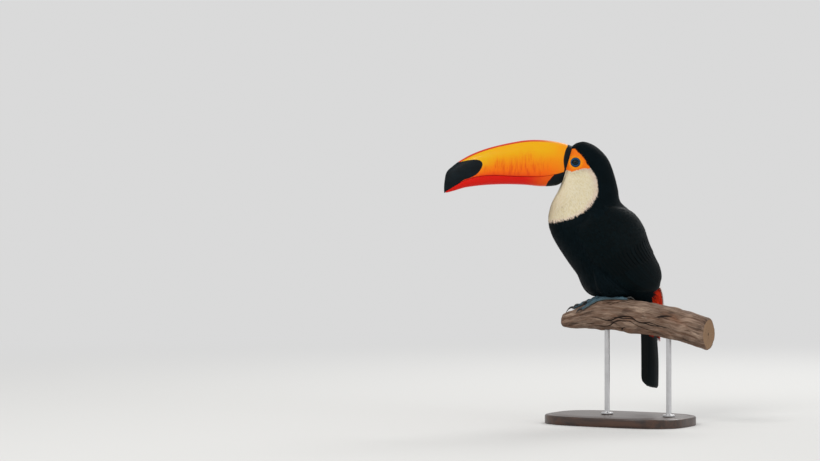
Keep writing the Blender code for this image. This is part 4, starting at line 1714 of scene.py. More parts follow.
@dataclass(frozen=True)
class Bill:
    """The bill's two halves, parted along the mouth, with the distances to its markings.

    Stations run from the face (0) to the hooked tip (10). Outlines are in station and share of
    the height, and their distances in millimetres on a flat map.
    """

    top: tuple = (
        (-0.0513, 0.2352), (-0.0700, 0.2407), (-0.0961, 0.2444), (-0.1237, 0.2440),
        (-0.1500, 0.2396), (-0.1760, 0.2335), (-0.2000, 0.2254), (-0.2200, 0.2156),
        (-0.2360, 0.2047), (-0.2465, 0.1930), (-0.2501, 0.1700),
    )  # fmt: skip
    bottom: tuple = (
        (-0.0672, 0.1792), (-0.0770, 0.1745), (-0.0985, 0.1731), (-0.1250, 0.1755),
        (-0.1500, 0.1763), (-0.1745, 0.1758), (-0.1970, 0.1739), (-0.2165, 0.1712),
        (-0.2320, 0.1668), (-0.2425, 0.1640), (-0.2492, 0.1626),
    )  # fmt: skip
    half: tuple = (
        0.0196, 0.0195, 0.0188, 0.0178, 0.0166, 0.0151, 0.0133, 0.0111, 0.0086, 0.0057, 0.0032,
    )
    mouth: tuple = (0.29, 0.26, 0.205, 0.175, 0.19, 0.235, 0.26, 0.24, 0.18, 0.12, 0.14)
    power: float = 0.80
    lower_ends: float = 9.60
    gap: float = 0.0006
    vault_columns: int = 10
    flat: tuple = (20.0, 66.0)  # the flat map's millimetres to a station and to the height
    tip_spot: tuple = (
        (5.62, 0.58), (5.72, 0.70), (6.05, 0.79), (6.68, 0.875), (7.30, 0.955), (7.70, 1.06),
        (9.00, 1.20), (11.0, 1.20), (11.0, -0.30), (8.95, -0.20), (8.72, 0.12), (7.84, 0.17),
        (7.18, 0.265), (6.55, 0.285), (6.10, 0.34), (5.80, 0.44),
    )  # fmt: skip
    band: tuple = (
        (-1.0, 1.20), (0.36, 1.12), (0.46, 0.96), (0.59, 0.82), (0.61, 0.59), (0.42, 0.42),
        (0.30, 0.31), (0.30, -0.20), (-1.0, -0.20),
    )  # fmt: skip
    patch: tuple = (
        (-1.0, 0.40), (0.30, 0.36), (0.62, 0.315), (0.95, 0.295), (1.17, 0.265), (1.36, 0.21),
        (1.50, 0.15), (1.70, 0.04), (1.80, -0.30), (-1.0, -0.30),
    )  # fmt: skip

    def profile(self, u: Array) -> tuple[Array, Array, Array, Array]:
        """Top and bottom points, half width and mouth share at a station."""
        top, bottom = smooth(self.top, u), smooth(self.bottom, u)
        return top, bottom, smooth(self.half, u), smooth(self.mouth, u)

    def outline(self, corners: tuple) -> Array:
        """An outline's corners on the flat map."""
        return rounded(np.array(corners) * self.flat, 4)

    def markings(self, half: Half) -> dict[str, tuple]:
        """The outlines of the markings on a half, empty for those of the other."""
        if half is Half.UPPER:
            return {"spot": self.tip_spot, "band": self.band, "patch": ()}
        return {"spot": (), "band": (), "patch": self.patch}

    def surface(self, half: Half, rows: int, columns: int) -> tuple[Array, dict[str, Array]]:
        """One half as rings that close across the mouth.

        Each ring runs round the section's outside from mouth corner to mouth corner, and back
        across the mouth as a shallow vault. The cut edge has small blunt teeth.

        Args:
            half: which half.
            rows: rings along the half.
            columns: points round the outside.

        Returns:
            Places as ring, point, xyz, and the values of each point.
        """
        upper = half is Half.UPPER
        u = (10.0 if upper else self.lower_ends) * (1 - (1 - np.linspace(0, 1, rows)) ** 1.25)
        top, bottom, wide, mouth = self.profile(u)
        tall = np.linalg.norm(top - bottom, axis=-1)
        teeth = 0.00022 * np.abs(np.sin(u * 9.0)) ** 0.6 * step(1.5, 3.0, u)
        teeth = teeth * (1 - step(7.6, 8.6, u))
        wide = (wide * np.sqrt(1 - 0.85 * np.clip(u - 9.0, 0, 1) ** 2))[:, None]
        if upper:  # past the lower half's end its hook takes the whole height
            line, edge = mouth * (1 - 0.97 * step(9.58, 9.68, u)), self.gap / 2 + teeth
        else:
            line, edge = mouth, -self.gap / 2
        corner = np.arccos(np.clip(2 * (line + edge / tall) - 1, -1, 1))[:, None]
        run = np.linspace(-1, 1, columns)
        around = corner * run if upper else math.pi + (math.pi - corner) * run
        height, side = section(0.5, around, self.power)
        u, line, mouth, tall = (value[:, None] for value in (u, line, mouth, tall))
        if upper:
            height = height * (0.35 + 0.65 * np.sqrt(1 - np.clip((u - 9.6) / 0.4, 0, 1) ** 2))
        else:
            nose = 1 - np.sqrt(1 - np.clip((u - 9.32) / 0.28, 0, 1) ** 2)
            height, side = height + (mouth - height) * 0.8 * nose, side * (1 - 0.5 * nose)
        x, z = np.moveaxis(bottom[:, None] + (top - bottom)[:, None] * height[..., None], -1, 0)
        outer = np.stack([x, -wide * side, z], -1)
        back = np.linspace(1, 0, self.vault_columns + 2)[1:-1, None]
        vault = outer[:, :1] * (1 - back) + outer[:, -1:] * back
        rise = wide * np.sin(math.pi * back[:, 0]) ** 0.5 * (0.26 if upper else 0.16)
        vault[..., 2] += rise
        rings = np.concatenate([outer, vault], axis=1)
        share = np.concatenate([height, np.broadcast_to(line, rise.shape)], 1)
        stations = np.broadcast_to(u, share.shape)
        outside = np.broadcast_to(np.arange(share.shape[1]) < columns, share.shape).astype(float)
        values = {"station": stations, "height": share, "inside": 1 - outside}
        values["below"] = (share - mouth) * tall * TO_MM
        values["ridge"] = (1 - share) * tall * TO_MM
        flat = np.stack([stations, share], -1) * self.flat
        for name, corners in self.markings(half).items():
            edge = -signed_distance(flat, self.outline(corners)) if corners else UNMARKED
            values[name] = np.broadcast_to(edge, share.shape)
        normal = unit(np.cross(np.gradient(rings, axis=1), np.gradient(rings, axis=0)))
        relief = 0.00022 * step(-0.3, 1.2, values["band" if upper else "patch"]) * outside
        relief = relief + 0.00016 * Ripple(5, 0.030, 12).at(rings * (0.5, 1, 1)) * outside
        keel = np.exp(-((np.minimum(share, 1) - 1) ** 2) / 0.0006) * (upper * 0.0003)
        keel = keel * (1 - step(6.4, 8.4, stations))
        rings = rings + normal * ((relief + keel) * sign_of(normal, rings))[..., None]
        return on_head(rings), values

    def build(self, finish: bpy.types.Material) -> None:
        """Makes both halves.

        Args:
            finish: their material.
        """
        for half, slot in ((Half.UPPER, "upper_bill"), (Half.LOWER, "lower_bill")):
            rings, values = self.surface(half, 280, 130)
            form = Form(half.value + "_horn")
            form.add_tube(rings, values)
            form.build(finish, slot, half.value)


def sign_of(normal: Array, rings: Array) -> Array:
    """1 where a ring's normals point away from its middle, and -1 where they point to it."""
    middle = rings.mean(1, keepdims=True)
    return np.where(((rings - middle) * normal).sum(-1) > 0, 1.0, -1.0)


# ---- eyes
@dataclass(frozen=True)
class Eyeball:
    """The glossy ball of an eye, with the cornea's small bulge."""

    rows: int = 48
    sides: int = 72

    def build(self, side: int, finish: bpy.types.Material) -> None:
        """Makes one eye: rings round the line of sight, with a raised middle.

        Args:
            side: 1 for the bird's left, -1 for its right.
            finish: the eye's material.
        """
        off = np.linspace(0.02, math.pi - 0.02, self.rows)[:, None]
        turn = turns(self.sides)[None]
        radius = EYE.radius + 0.00030 * bell(off, 0.55)
        centre, out = EYE.centre(side)
        right = unit(np.cross(out, [0, 0, 1.0]))
        up = np.cross(right, out)
        flat = np.cos(turn)[..., None] * right + np.sin(turn)[..., None] * up
        ahead = np.cos(off)[..., None] * out
        rings = centre + radius[..., None] * (flat * np.sin(off)[..., None] + ahead)
        form = Form("eyeball_" + SIDES[side])
        from_pupil = radius * np.sin(off) * TO_MM + 20 * (np.cos(off) < 0)
        form.add_tube(rings, {"from_pupil": from_pupil})
        form.build(finish, "eye", "eye_" + SIDES[side])


# ---- feet
@dataclass(frozen=True)
class Toe:
    """One toe on the bark: which way it points, where it starts, and its sizes."""

    name: str
    ahead: int  # 1 forwards, -1 backwards
    aside: int  # 1 on the inner side, -1 on the outer
    splay: float  # degrees
    length: float
    claw: float
    radius: float


@dataclass(frozen=True)
class Foot:
    """A foot with two toes forwards and two back, its shank, and a claw on each toe."""

    side: int
    toes: tuple[Toe, ...] = (
        Toe("2", 1, 1, 5, 0.025, 0.0105, 0.0027),
        Toe("3", 1, -1, 4, 0.034, 0.0125, 0.0029),
        Toe("1", -1, 1, 8, 0.019, 0.0100, 0.0026),
        Toe("4", -1, -1, 10, 0.029, 0.0120, 0.0028),
    )
    apart: float = 0.014  # from the bird's middle
    start: float = 0.0066
    start_aside: float = 0.0031
    turn: float = math.radians(16)
    ankle: tuple[float, float] = (0.0080, 0.0240)
    shank: tuple = (0.0044, 0.0046, 0.0040, 0.0033, 0.0033, 0.0036)  # radii upwards
    grain: float = 0.00042  # the skin's mesh size

    def stand(self) -> tuple[float, float]:
        """Where the foot's middle is: along the branch, and round it as an arc."""
        own = turned(np.array([0.0, -self.apart * self.side, 0.0]), TRUNK_TURN - BRANCH.heading)
        return own[0], BRANCH.radius * math.asin(-own[1] / BRANCH.radius)

    def line(self, toe: Toe, distance: Array, height: Array) -> Array:
        """Points above the bark along a toe.

        On the unrolled bark a toe starts aside of the foot's middle and runs straight along its
        heading, swung by its splay.

        Args:
            toe: which toe.
            distance: from the toe's start.
            height: over the bark.

        Returns:
            Places, xyz last.
        """
        along, arc = self.stand()
        heading = math.pi + self.turn
        swing = math.radians(toe.splay) * -toe.aside * self.side * toe.ahead
        angle = heading + (0 if toe.ahead > 0 else math.pi) + swing
        way = np.array([math.cos(angle), math.sin(angle)])
        across = np.array([-math.sin(heading), math.cos(heading)]) * -toe.aside * self.side
        run = way * (self.start + np.asarray(distance)[:, None])
        flat = np.array([along, -arc]) + across * self.start_aside + run
        return BRANCH.place(flat[:, 0], -flat[:, 1] / BRANCH.radius, height)

    def tube(self, line: Array, wide: Array, tall: Array, sides: int) -> Array:
        """Rings of an oval section along a line, upright against the way it runs.

        Args:
            line: the middle.
            wide: half its width, point by point.
            tall: half its height.
            sides: points in a ring.

        Returns:
            Ring, point, xyz.
        """
        way = unit(np.gradient(line, axis=0))
        across = unit(np.cross(way, [0, 0, 1.0]))
        up = np.cross(across, way)
        turn = turns(sides)
        ring = across[:, None] * np.cos(turn)[:, None] * wide[:, None, None]
        return line[:, None] + ring + up[:, None] * np.sin(turn)[:, None] * tall[:, None, None]

    def toe_sizes(self, toe: Toe, share: Array) -> Array:
        """A toe's radius: tapering, with three pads that swell as a cosine, and rounded ends."""
        swell = 1 + 0.10 * np.cos(share * 2 * math.pi * 3)
        ends = np.sqrt(np.clip(1 - ((share - 0.90) / 0.10).clip(0, 1) ** 2 * 0.62, 0, 1))
        return toe.radius * (1 - 0.22 * share) * swell * ends

    def bones(self) -> list[tuple[Array, Array, bool]]:
        """The middle line and radius of each toe and then of the shank, which isn't a toe.

        Returns:
            Line, radius, and whether it's a toe, bone by bone.
        """
        found = []
        for toe in self.toes:
            share = np.linspace(-0.22, 1, 44)
            size = self.toe_sizes(toe, np.clip(share, 0, 1))
            line = self.line(toe, share * toe.length, size * 1.04 + CLEARANCE)
            found.append((line, size, True))
        along, arc = self.stand()
        foot = BRANCH.place(along, arc / BRANCH.radius, 0.0040)
        ankle = on_trunk([self.ankle[0], -self.apart * self.side, self.ankle[1]])
        share = np.linspace(0, 1, 30)
        size = smooth(self.shank, share * 5)
        found.append((foot + (ankle - foot) * share[:, None], size, False))
        return found

    def skin(self, finish: bpy.types.Material) -> None:
        """One closed skin over toes, sole and shank.

        The tubes are joined by a fine remesh and smoothed. Then the front of each is raised in
        overlapping scutes: a saw-tooth of the distance along it, faded towards its underside.

        Args:
            finish: the leg's material.
        """
        bones, letter = self.bones(), SIDES[self.side]
        rough = Form("rough_foot")
        for line, size, _ in bones:
            rough.add_tube(self.tube(line, size, size, 16))
        points, faces = merged(rough, self.grain)
        nearest, along, upward = self.nearest(points, bones)
        normal = point_normals(points, faces)
        pitch = np.where(nearest < 4, 0.0021, 0.0034)
        tooth = np.mod(along / pitch, 1.0)
        shape = np.where(tooth < 0.82, tooth / 0.82, (1 - tooth) / 0.18)
        top = step(-0.15, 0.55, upward)
        relief = 0.00030 * (shape - 0.5) * top
        pads = 0.00010 * Ripple(9, 0.0022, 14, 0.5).at(points) * (1 - top)
        points = points + normal * (relief + pads)[:, None]
        form = Form("foot_skin_" + letter)
        # the grooves' share, which the leg's finish darkens as painted shade
        groove = np.clip(1 - shape * 2.2, 0, 1) * top
        form.add(points, [faces], {"groove": groove, "upward": upward})
        toes = [f"toe{toe.name}_{letter}" for toe in self.toes]
        form.build(finish, "leg_skin", "shank_" + letter, *toes)

    def nearest(self, points: Array, bones: list) -> Array:
        """Which bone each point is nearest to.

        Args:
            points: the skin's places.
            bones: middle lines and radii.

        Returns:
            The bone's number, how far along it, and how far up the point lies from it (-1 to 1).
        """
        every = np.arange(len(points))
        best, found = np.full(len(points), np.inf), np.zeros((3, len(points)))
        for k, (line, size, is_toe) in enumerate(bones):
            off = points[:, None] - line
            far = np.linalg.norm(off, axis=-1) / size
            pick = far.argmin(1)
            run = np.r_[0, np.cumsum(np.linalg.norm(np.diff(line, axis=0), axis=1))]
            gap = off[every, pick]
            here = run[pick] + (gap * unit(np.gradient(line, axis=0))[pick]).sum(-1)
            up = unit(gap)[:, 2] if is_toe else -unit(gap)[:, 0]
            closer = far[every, pick] < best
            best = np.where(closer, far[every, pick], best)
            found = np.where(closer, [np.full(len(points), k), here, up], found)
        return found

    def claws(self, finish: bpy.types.Material) -> None:
        """A hooked claw at the end of each toe, deeper than it is wide.

        Args:
            finish: their material.
        """
        for toe in self.toes:
            share = np.linspace(0, 1, 30)
            thick = toe.radius * 0.60 * (1 - share) ** 0.8 + 0.00022
            arch = 0.0030 * np.sin(math.pi * share) ** 0.9
            first = toe.length + toe.radius * 0.60 * 0.2 + CLEARANCE * 2 - 0.0016
            height = thick + arch + 0.0010 * (1 - share) + CLEARANCE
            line = self.line(toe, first + share * (toe.claw * 0.85 + 0.0016), height)
            place = f"{toe.name}_{SIDES[self.side]}"
            form = Form("claw_horn" + place)
            rings = self.tube(line, thick * 0.86, thick * 1.06, 20)
            form.add_tube(rings, {"share": share[:, None]})
            form.build(finish, "claw_horn", "claw" + place)


def merged(form: Form, size: float) -> tuple[Array, Array]:
    """Joins a form's overlapping bodies into one closed skin of even quads.

    Args:
        form: the bodies.
        size: the side of a quad.

    Returns:
        Places and faces.
    """
    made = linked(form.name, form.mesh())
    remesh = made.modifiers.new("join", "REMESH")
    remesh.mode, remesh.voxel_size = "VOXEL", size
    soften = made.modifiers.new("soften", "SMOOTH")
    soften.iterations, soften.factor = 4, 0.5
    done = made.evaluated_get(bpy.context.evaluated_depsgraph_get()).to_mesh()
    points = np.empty(len(done.vertices) * 3)
    done.vertices.foreach_get("co", points)
    corners = np.empty(len(done.loops), np.int32)
    done.loops.foreach_get("vertex_index", corners)
    bpy.data.objects.remove(made)
    return points.reshape(-1, 3), corners.reshape(-1, 4)


def point_normals(points: Array, faces: Array) -> Array:
    """Each point's normal: the sum of its faces' normals, made unit length.

    Args:
        points: places.
        faces: quads.

    Returns:
        Directions.
    """
    a, b, c, d = (points[faces[:, k]] for k in range(4))
    flat = np.cross(c - a, d - b)
    total = np.zeros_like(points)
    for k in range(4):
        np.add.at(total, faces[:, k], flat)
    return unit(total)


# ---- branch and stand
@dataclass(frozen=True)
class Branch:
    """The weathered branch: grooves and cracks along its grain, and worn cut ends."""

    rows: int = 350
    sides: int = 244
    cap_rows: int = 26
    strands: tuple = ((5, 0.75), (9, 0.60), (17, 0.42), (31, 0.26), (53, 0.15))  # number and size
    cracks: int = 15

    def line(self, along: Array, around: Array) -> Array:
        """The same places on a straight branch of even girth, xyz last."""
        across = [BRANCH.radius * np.cos(around), BRANCH.radius * np.sin(around)]
        return np.stack([along, *across], -1)

    def relief(self, along: Array, around: Array) -> tuple[Array, Array]:
        """The height of the wood and how deep its cracks are.

        Strands are waves round the branch whose phase wanders along it; cracks are where a few
        wandering lines cross zero, each open only for a stretch. Round each knot the strands
        bend aside.

        Args:
            along: metres from the grip.
            around: angle from the top.

        Returns:
            Height in metres, and the cracks' share from 0 to 1.
        """
        ring = self.line(along, around)
        bend = 0.0
        for at, turn, _, spread in BRANCH.knots:
            off = wrapped(around - turn)
            near = np.exp(-(((along - at) / spread) ** 2) - (off * BRANCH.radius / spread) ** 2)
            bend = bend + 0.75 * np.tanh(off * 3) * near
        wander = 0.35 * Ripple(11, 0.09, 8).at(ring * (1, 0.4, 0.4)) + bend
        height = 0.0
        for k, (number, size) in enumerate(self.strands):
            phase = wander * number * 0.8 + Ripple(20 + k, 0.06, 6).at(ring * (1, 0.2, 0.2)) * 1.6
            strand = np.abs(np.sin(number / 2 * around + phase / 2)) ** 0.6
            height = height + size * (1 - 1.6 * strand)
        height = -0.00075 * height + 0.0008 * Ripple(31, 0.035, 10).at(ring)
        cracks = np.zeros(along.shape)
        for k in range(self.cracks):
            pick = np.random.default_rng(200 + k)
            turn = pick.uniform(0, 2 * math.pi)
            middle, reach = pick.uniform(BRANCH.left, BRANCH.right), pick.uniform(0.014, 0.075)
            line = wander * 0.9 + 0.16 * Ripple(230 + k, 0.10, 4, 0.4).at(along[..., None])
            off = wrapped(around - turn - line) * BRANCH.radius
            opened = np.clip(1 - ((along - middle) / reach) ** 2, 0, 1)
            cracks = np.maximum(cracks, bell(off, 0.00050 + 0.00048 * opened) * np.sqrt(opened))
        at, turn, _, _ = BRANCH.knots[0]  # the one whose whorl shows
        on, off = along - at, wrapped(around - turn) * BRANCH.radius
        far = np.hypot(on, off * 1.35)
        whorl = np.sin(far / 0.0021 * 2 * math.pi + np.arctan2(off, on) * 2)
        height = height + 0.00040 * whorl * bell(far, 0.011)
        slot = np.exp(-(((off + 0.35 * on) / 0.0011) ** 2) - (on / 0.011) ** 2)
        cracks = np.maximum(cracks, slot)
        return height - 0.0026 * cracks, cracks

    def build(self, finish: bpy.types.Material) -> None:
        """Makes the branch, its ends worn round and cupped.

        Args:
            finish: its material.
        """
        stations = np.linspace(BRANCH.left, BRANCH.right, self.rows)[:, None]
        along, around = np.broadcast_arrays(stations, turns(self.sides))
        height, cracks = self.relief(along, around)
        from_end = np.minimum(along - BRANCH.left, BRANCH.right - along)
        worn = 0.0022 * (1 - np.clip(from_end / 0.0032, 0, 1)) ** 2
        points = BRANCH.place(along, around, height - worn - 0.0006)
        shares = np.linspace(0.03, 0.97, self.cap_rows)
        axis = turned(np.array([1.0, 0, 0]), BRANCH.heading)
        noise = Ripple(41, 0.010, 12)
        caps = []
        for ring, out, way in ((points[0], shares, 1), (points[-1], shares[::-1], -1)):
            middle = ring.mean(0)
            disc = middle + (ring - middle) * out[:, None, None]
            cup = (0.0010 * (1 - out**2) * 0.4)[:, None]
            rough = 0.00035 * noise.at(disc) * (1 - out[:, None] ** 8)
            caps.append(disc + axis * way * (cup + rough + 0.0004)[..., None])
        ends = ((self.cap_rows, self.cap_rows), (0, 0))
        values = {
            # the cracks' share, which the wood's finish darkens as painted shade
            "crack": np.pad(cracks, ends),
            "end": np.pad(np.zeros(cracks.shape), ends, constant_values=1.0),
            "out": np.concatenate([shares, np.ones(self.rows), shares[::-1]])[:, None],
            "fibre": np.pad(self.line(along, around), (*ends, (0, 0)), "edge"),
            # the relief's height, whose hollows the wood's finish darkens as painted shade
            "rise": np.pad(height * TO_MM, ends),
        }
        form = Form("branch_bark")
        form.add_tube(np.concatenate([caps[0], points, caps[1]]), values)
        form.build(finish, "branch_wood", "perch")


@dataclass(frozen=True)
class Stand:
    """The display base and the two flanged rods that carry the branch."""

    length: float = 0.230
    width: float = 0.150
    thick: float = 0.014
    edge: float = 0.0025
    power: float = 0.62
    rod: float = 0.0040
    flange: tuple[float, float] = (0.0095, 0.0030)
    places: tuple[float, float] = (0.008, 0.112)
    in_branch: float = 0.012

    def base(self, finish: bpy.types.Material) -> None:
        """The base: an outline of powers of cosine and sine, with a rounded upper edge.

        Args:
            finish: its material.
        """
        turn = turns(240)
        cos, sin = np.cos(turn), np.sin(turn)
        x = self.length / 2 * np.sign(cos) * np.abs(cos) ** self.power
        y = self.width / 2 * np.sign(sin) * np.abs(sin) ** self.power
        bend = np.linspace(0, math.pi / 2, 9)
        inset = [0.0006, 0.0, 0.0, *(self.edge * (1 - np.cos(bend)))]
        level = [0.0, 0.0006, 0.006, *(self.thick - self.edge * (1 - np.sin(bend)))]
        inset += [self.edge + 0.004, self.edge + 0.0045, self.edge + 0.0052, self.edge + 0.03, 0.06]
        level += [self.thick, self.thick - 0.0004, self.thick, self.thick, self.thick]
        rings = []
        for off, z in zip(inset, level):
            shrink = 1 - 2 * off / self.width
            ring = np.stack([x * shrink, y * shrink, np.full(240, z)], -1)
            rings.append(turned(ring, BRANCH.heading))
        form = Form("stand_base_wood", crisp=50)
        form.add_tube(np.array(rings))
        form.build(finish, "stand_base_wood", "stand_base")

    def rods(self, finish: bpy.types.Material) -> None:
        """Each rod turned from a profile: flange, fillet, shaft, and an end inside the branch.

        Args:
            finish: their material.
        """
        for name, along in zip("ab", self.places):
            under = BRANCH.place(along, math.pi)
            top = under[2] + self.in_branch
            radius, thick = self.flange
            start = self.thick + CLEARANCE
            bend = np.linspace(0, math.pi / 2, 6)
            profile = [(radius - 0.0006, start), (radius, start + 0.0006)]
            rim = radius - 0.0008 + 0.0008 * np.cos(bend)
            profile += list(zip(rim, start + thick - 0.0008 + 0.0008 * np.sin(bend)))
            foot = self.rod + 0.0012 - 0.0012 * np.sin(bend)
            profile += list(zip(foot, start + thick + 0.0012 - 0.0012 * np.cos(bend)))
            profile += [(self.rod, (start + top) / 2), (self.rod, top - 0.0008)]
            profile.append((self.rod - 0.0008, top))
            turn = turns(56)
            circle = np.stack([np.cos(turn), np.sin(turn), 0 * turn], -1)
            middle = np.array([under[0], under[1], 0.0])
            rings = [middle + circle * r + [0, 0, z] for r, z in profile]
            form = Form("rod_" + name, crisp=40)
            form.add_tube(np.array(rings))
            form.build(finish, "rod_steel", "stand_rod_" + name)


# ---- finishes
@dataclass(frozen=True)
class PlumageFinish:
    """Skin and feathers: black, with the white and red markings and the bare orange face."""

    name: str
    bare_skin: bool = False
    black: tuple = srgb(2, 17, 23)
    deep: tuple = srgb(0, 10, 14)
    cream: tuple = srgb(227, 213, 172)
    rose: tuple = srgb(216, 188, 170)
    white: tuple = srgb(250, 247, 242)
    red: tuple = srgb(222, 58, 16)
    dark_red: tuple = srgb(186, 34, 10)
    orange: tuple = srgb(238, 118, 18)
    yellow: tuple = srgb(246, 160, 10)
    blue: tuple = srgb(30, 84, 122)
    dark_blue: tuple = srgb(12, 36, 58)

    def make(self) -> bpy.types.Material:
        """Mixes the colours by the distances that every point carries.

        Returns:
            The material.
        """
        f = Finish(self.name)
        shade = f.read("shade")
        where = f.place()
        fine = f.noise(where, 900, 2)
        broad = f.noise(where, 60, 3)
        black = f.mix((broad * 0.6 + shade * 0.4).between(0.2, 0.85), self.deep, self.black)
        bib = f.read("bib")
        edge = f.mix((bib + broad * 6).between(10.5, 2.0) * 0.9, self.cream, self.rose)
        tint = f.mix((shade * 0.5 + fine * 0.5).between(0.2, 0.8) * 0.4, edge, self.white)
        f.colour = f.mix(bib.between(-0.35, 0.35), black, tint)
        down = f.mix(shade.between(0.3, 1.0) * 0.22, self.white, self.rose)
        f.lay(f.read("white").between(-0.4, 0.4), down)
        scarlet = f.mix((shade * 0.6 + broad * 0.4).between(0.2, 0.8), self.dark_red, self.red)
        f.lay(f.read("red").between(-0.4, 0.4), scarlet)
        rough = 0.52 + fine * 0.2
        height = fine * 0.3
        if self.bare_skin:
            bare, eye, cells = f.read("bare"), f.read("eye"), f.cells(where, 1500)
            warm = f.mix((eye + broad * 4).between(8.5, 15.0), self.yellow, self.orange)
            warm = f.mix(cells.between(0.35, 0.75) * 0.35, warm, srgb(196, 74, 14))
            f.lay(bare.between(-1.3, -0.7), warm)
            ring = (EYE.ring * TO_MM - eye + (fine - 0.5) * 0.5).between(-0.25, 0.35)
            folds = f.read("fold") * 0.5 + 0.5
            outer = eye.between(5.6, 7.2)
            blues = (folds * 0.7 + fine * 0.5 - outer * 0.5).between(0.1, 0.8)
            blue = f.mix(blues, self.dark_blue, self.blue)
            f.lay(ring, blue)
            f.lay(f.read("rim").between(0.95, 0.55), srgb(8, 14, 20))
            rough = f.mix_number(bare.between(-0.5, 0.5), rough, 0.42 + cells * 0.15)
            height = f.mix_number(bare.between(-0.5, 0.5), height, cells * 1.2 + folds * 0.25)
        else:
            along, across = f.vane()
            barbs = ((along * 62 - across * 9) * FULL_TURN + fine * 4).sine() * 0.5 + 0.5
            height = barbs * 0.6 + fine * 0.5
            # painted shade: each feather is darkened towards its root, where the feathers over it
            # lie
            root = (1 - along).between(0.30, 1.0) * 0.45
            f.lay(root, srgb(176, 160, 140), "MULTIPLY")
        relief = f.bump(height, 0.00008, 0.5)
        return f.principled(rough, relief, {"Specular IOR Level": 0.07})


@dataclass(frozen=True)
class QuillFinish:
    """Flight and tail feathers: glossier black vanes with a shaft and fine barbs."""

    name: str
    black: tuple = srgb(1, 14, 18)
    edge: tuple = srgb(10, 22, 27)
    barbs: float = 170.0  # along a long feather
    gloss: float = 0.40

    def make(self) -> bpy.types.Material:
        """Lines slant from the shaft; the worn edges are a little paler.

        Returns:
            The material.
        """
        f = Finish(self.name)
        shade = f.read("shade")
        along, across = f.vane()
        where = f.place()
        noise = f.noise(where, 500, 3)
        broad = f.noise(where, 70, 2)
        barbs = ((along * self.barbs - across * 12) * FULL_TURN + noise * 3).sine() * 0.5 + 0.5
        worn = (across + noise * 0.2).between(0.92, 1.14) + along.between(0.965, 1.0) * 0.6
        tone = f.mix((shade * 0.4 + broad * 0.6).between(0.2, 0.8), srgb(0, 7, 9), self.black)
        f.colour = f.mix(worn.least(1.0) * 0.7, tone, self.edge)
        shaft = across.between(0.10, 0.03)
        f.lay(shaft * 0.6, srgb(18, 17, 17))
        rough = self.gloss + noise * 0.16 - shaft * 0.12
        relief = f.bump(barbs * 0.7 + noise * 0.4, 0.00010, 0.6)
        return f.principled(rough, relief, {"Specular IOR Level": 0.055})


@dataclass(frozen=True)
class BillFinish:
    """Polished horn: yellow above, orange, and red towards the mouth, with black markings."""

    name: str = "bill horn"
    yellow: tuple = srgb(230, 168, 3)
    amber: tuple = srgb(238, 134, 3)
    orange: tuple = srgb(244, 104, 2)
    red: tuple = srgb(218, 18, 2)
    culmen: tuple = srgb(202, 50, 6)
    black: tuple = srgb(5, 11, 15)
    slate: tuple = srgb(14, 27, 33)

    def make(self) -> bpy.types.Material:
        """Mixes along the height share, with streaks that rise from the mouth.

        Returns:
            The material.
        """
        f = Finish(self.name)
        u, h = f.read("station"), f.read("height")
        where = f.place()
        upright = f.noise(f.place((1.0, 0.5, 0.15)), 330, 3)
        wide = f.noise(f.place((1.0, 0.6, 0.18)), 75, 3)
        level = f.noise(f.place((0.18, 1.0, 1.0)), 180, 3)
        fine = f.noise(where, 700, 2)
        high = h + (wide - 0.5) * 0.16 + (level - 0.5) * 0.05
        f.colour = f.mix(high.between(0.44, 0.80), self.amber, self.yellow)
        low = high + (upright - 0.5) * 0.22
        f.lay(low.between(0.52, 0.24), self.orange)
        middle = u.between(1.0, 2.6) * u.between(6.3, 5.0)
        streak = (upright * 0.8 + wide * 0.2).between(0.44, 0.66)
        reach = (h + (wide - 0.5) * 0.30).between(0.80, 0.34)
        f.lay(streak * reach * middle * 0.8, srgb(222, 66, 2))
        pale = u.between(4.6, 5.6) * h.between(0.45, 0.60)
        f.lay(pale * 0.5, srgb(226, 176, 8))
        f.lay(u.between(1.9, 0.5) * 0.6, self.amber)
        under = f.read("below")
        edge = under + (upright - 0.5) * 3.2 + (fine - 0.5) * 0.6
        red_in = u.between(0.8, 3.0)
        f.lay(edge.between(9.0, 1.0) * red_in * 0.36, self.red)
        f.lay(edge.between(3.0, -0.4) * red_in, self.red)
        f.lay(under.between(0.2, -0.5) * u.between(3.2, 0.9), srgb(232, 92, 4))
        ridge = f.read("ridge") + (level - 0.5) * 0.8
        f.lay(ridge.between(3.4, 1.8) * u.between(0.7, 2.6), self.culmen)
        dark = f.mix((level * 0.5 + wide * 0.5).between(0.3, 0.8), self.black, self.slate)
        wobble = (fine - 0.5) * 0.5 + (wide - 0.5) * 0.9
        mask = (f.read("spot") + wobble).between(-0.25, 0.35)
        mask = mask.most((f.read("band") + wobble * 0.5).between(-0.2, 0.3))
        mask = mask.most((f.read("patch") + wobble * 0.5).between(-0.2, 0.3))
        f.lay(mask, dark)
        f.lay(f.read("inside") * 0.8, srgb(60, 16, 8))
        height = upright * 0.5 + level * 0.5 + fine * 0.25
        rough = 0.30 + fine * 0.10 + mask * 0.16 + level * 0.05
        polish = {"Specular IOR Level": 0.12, "Coat Roughness": 0.12}
        polish["Coat Weight"] = (1 - mask) * 0.10 + 0.01
        polish |= {"Subsurface Weight": 0.06, "Subsurface Scale": 0.004}
        return f.principled(rough, f.bump(height, 0.00022, 0.35), polish)


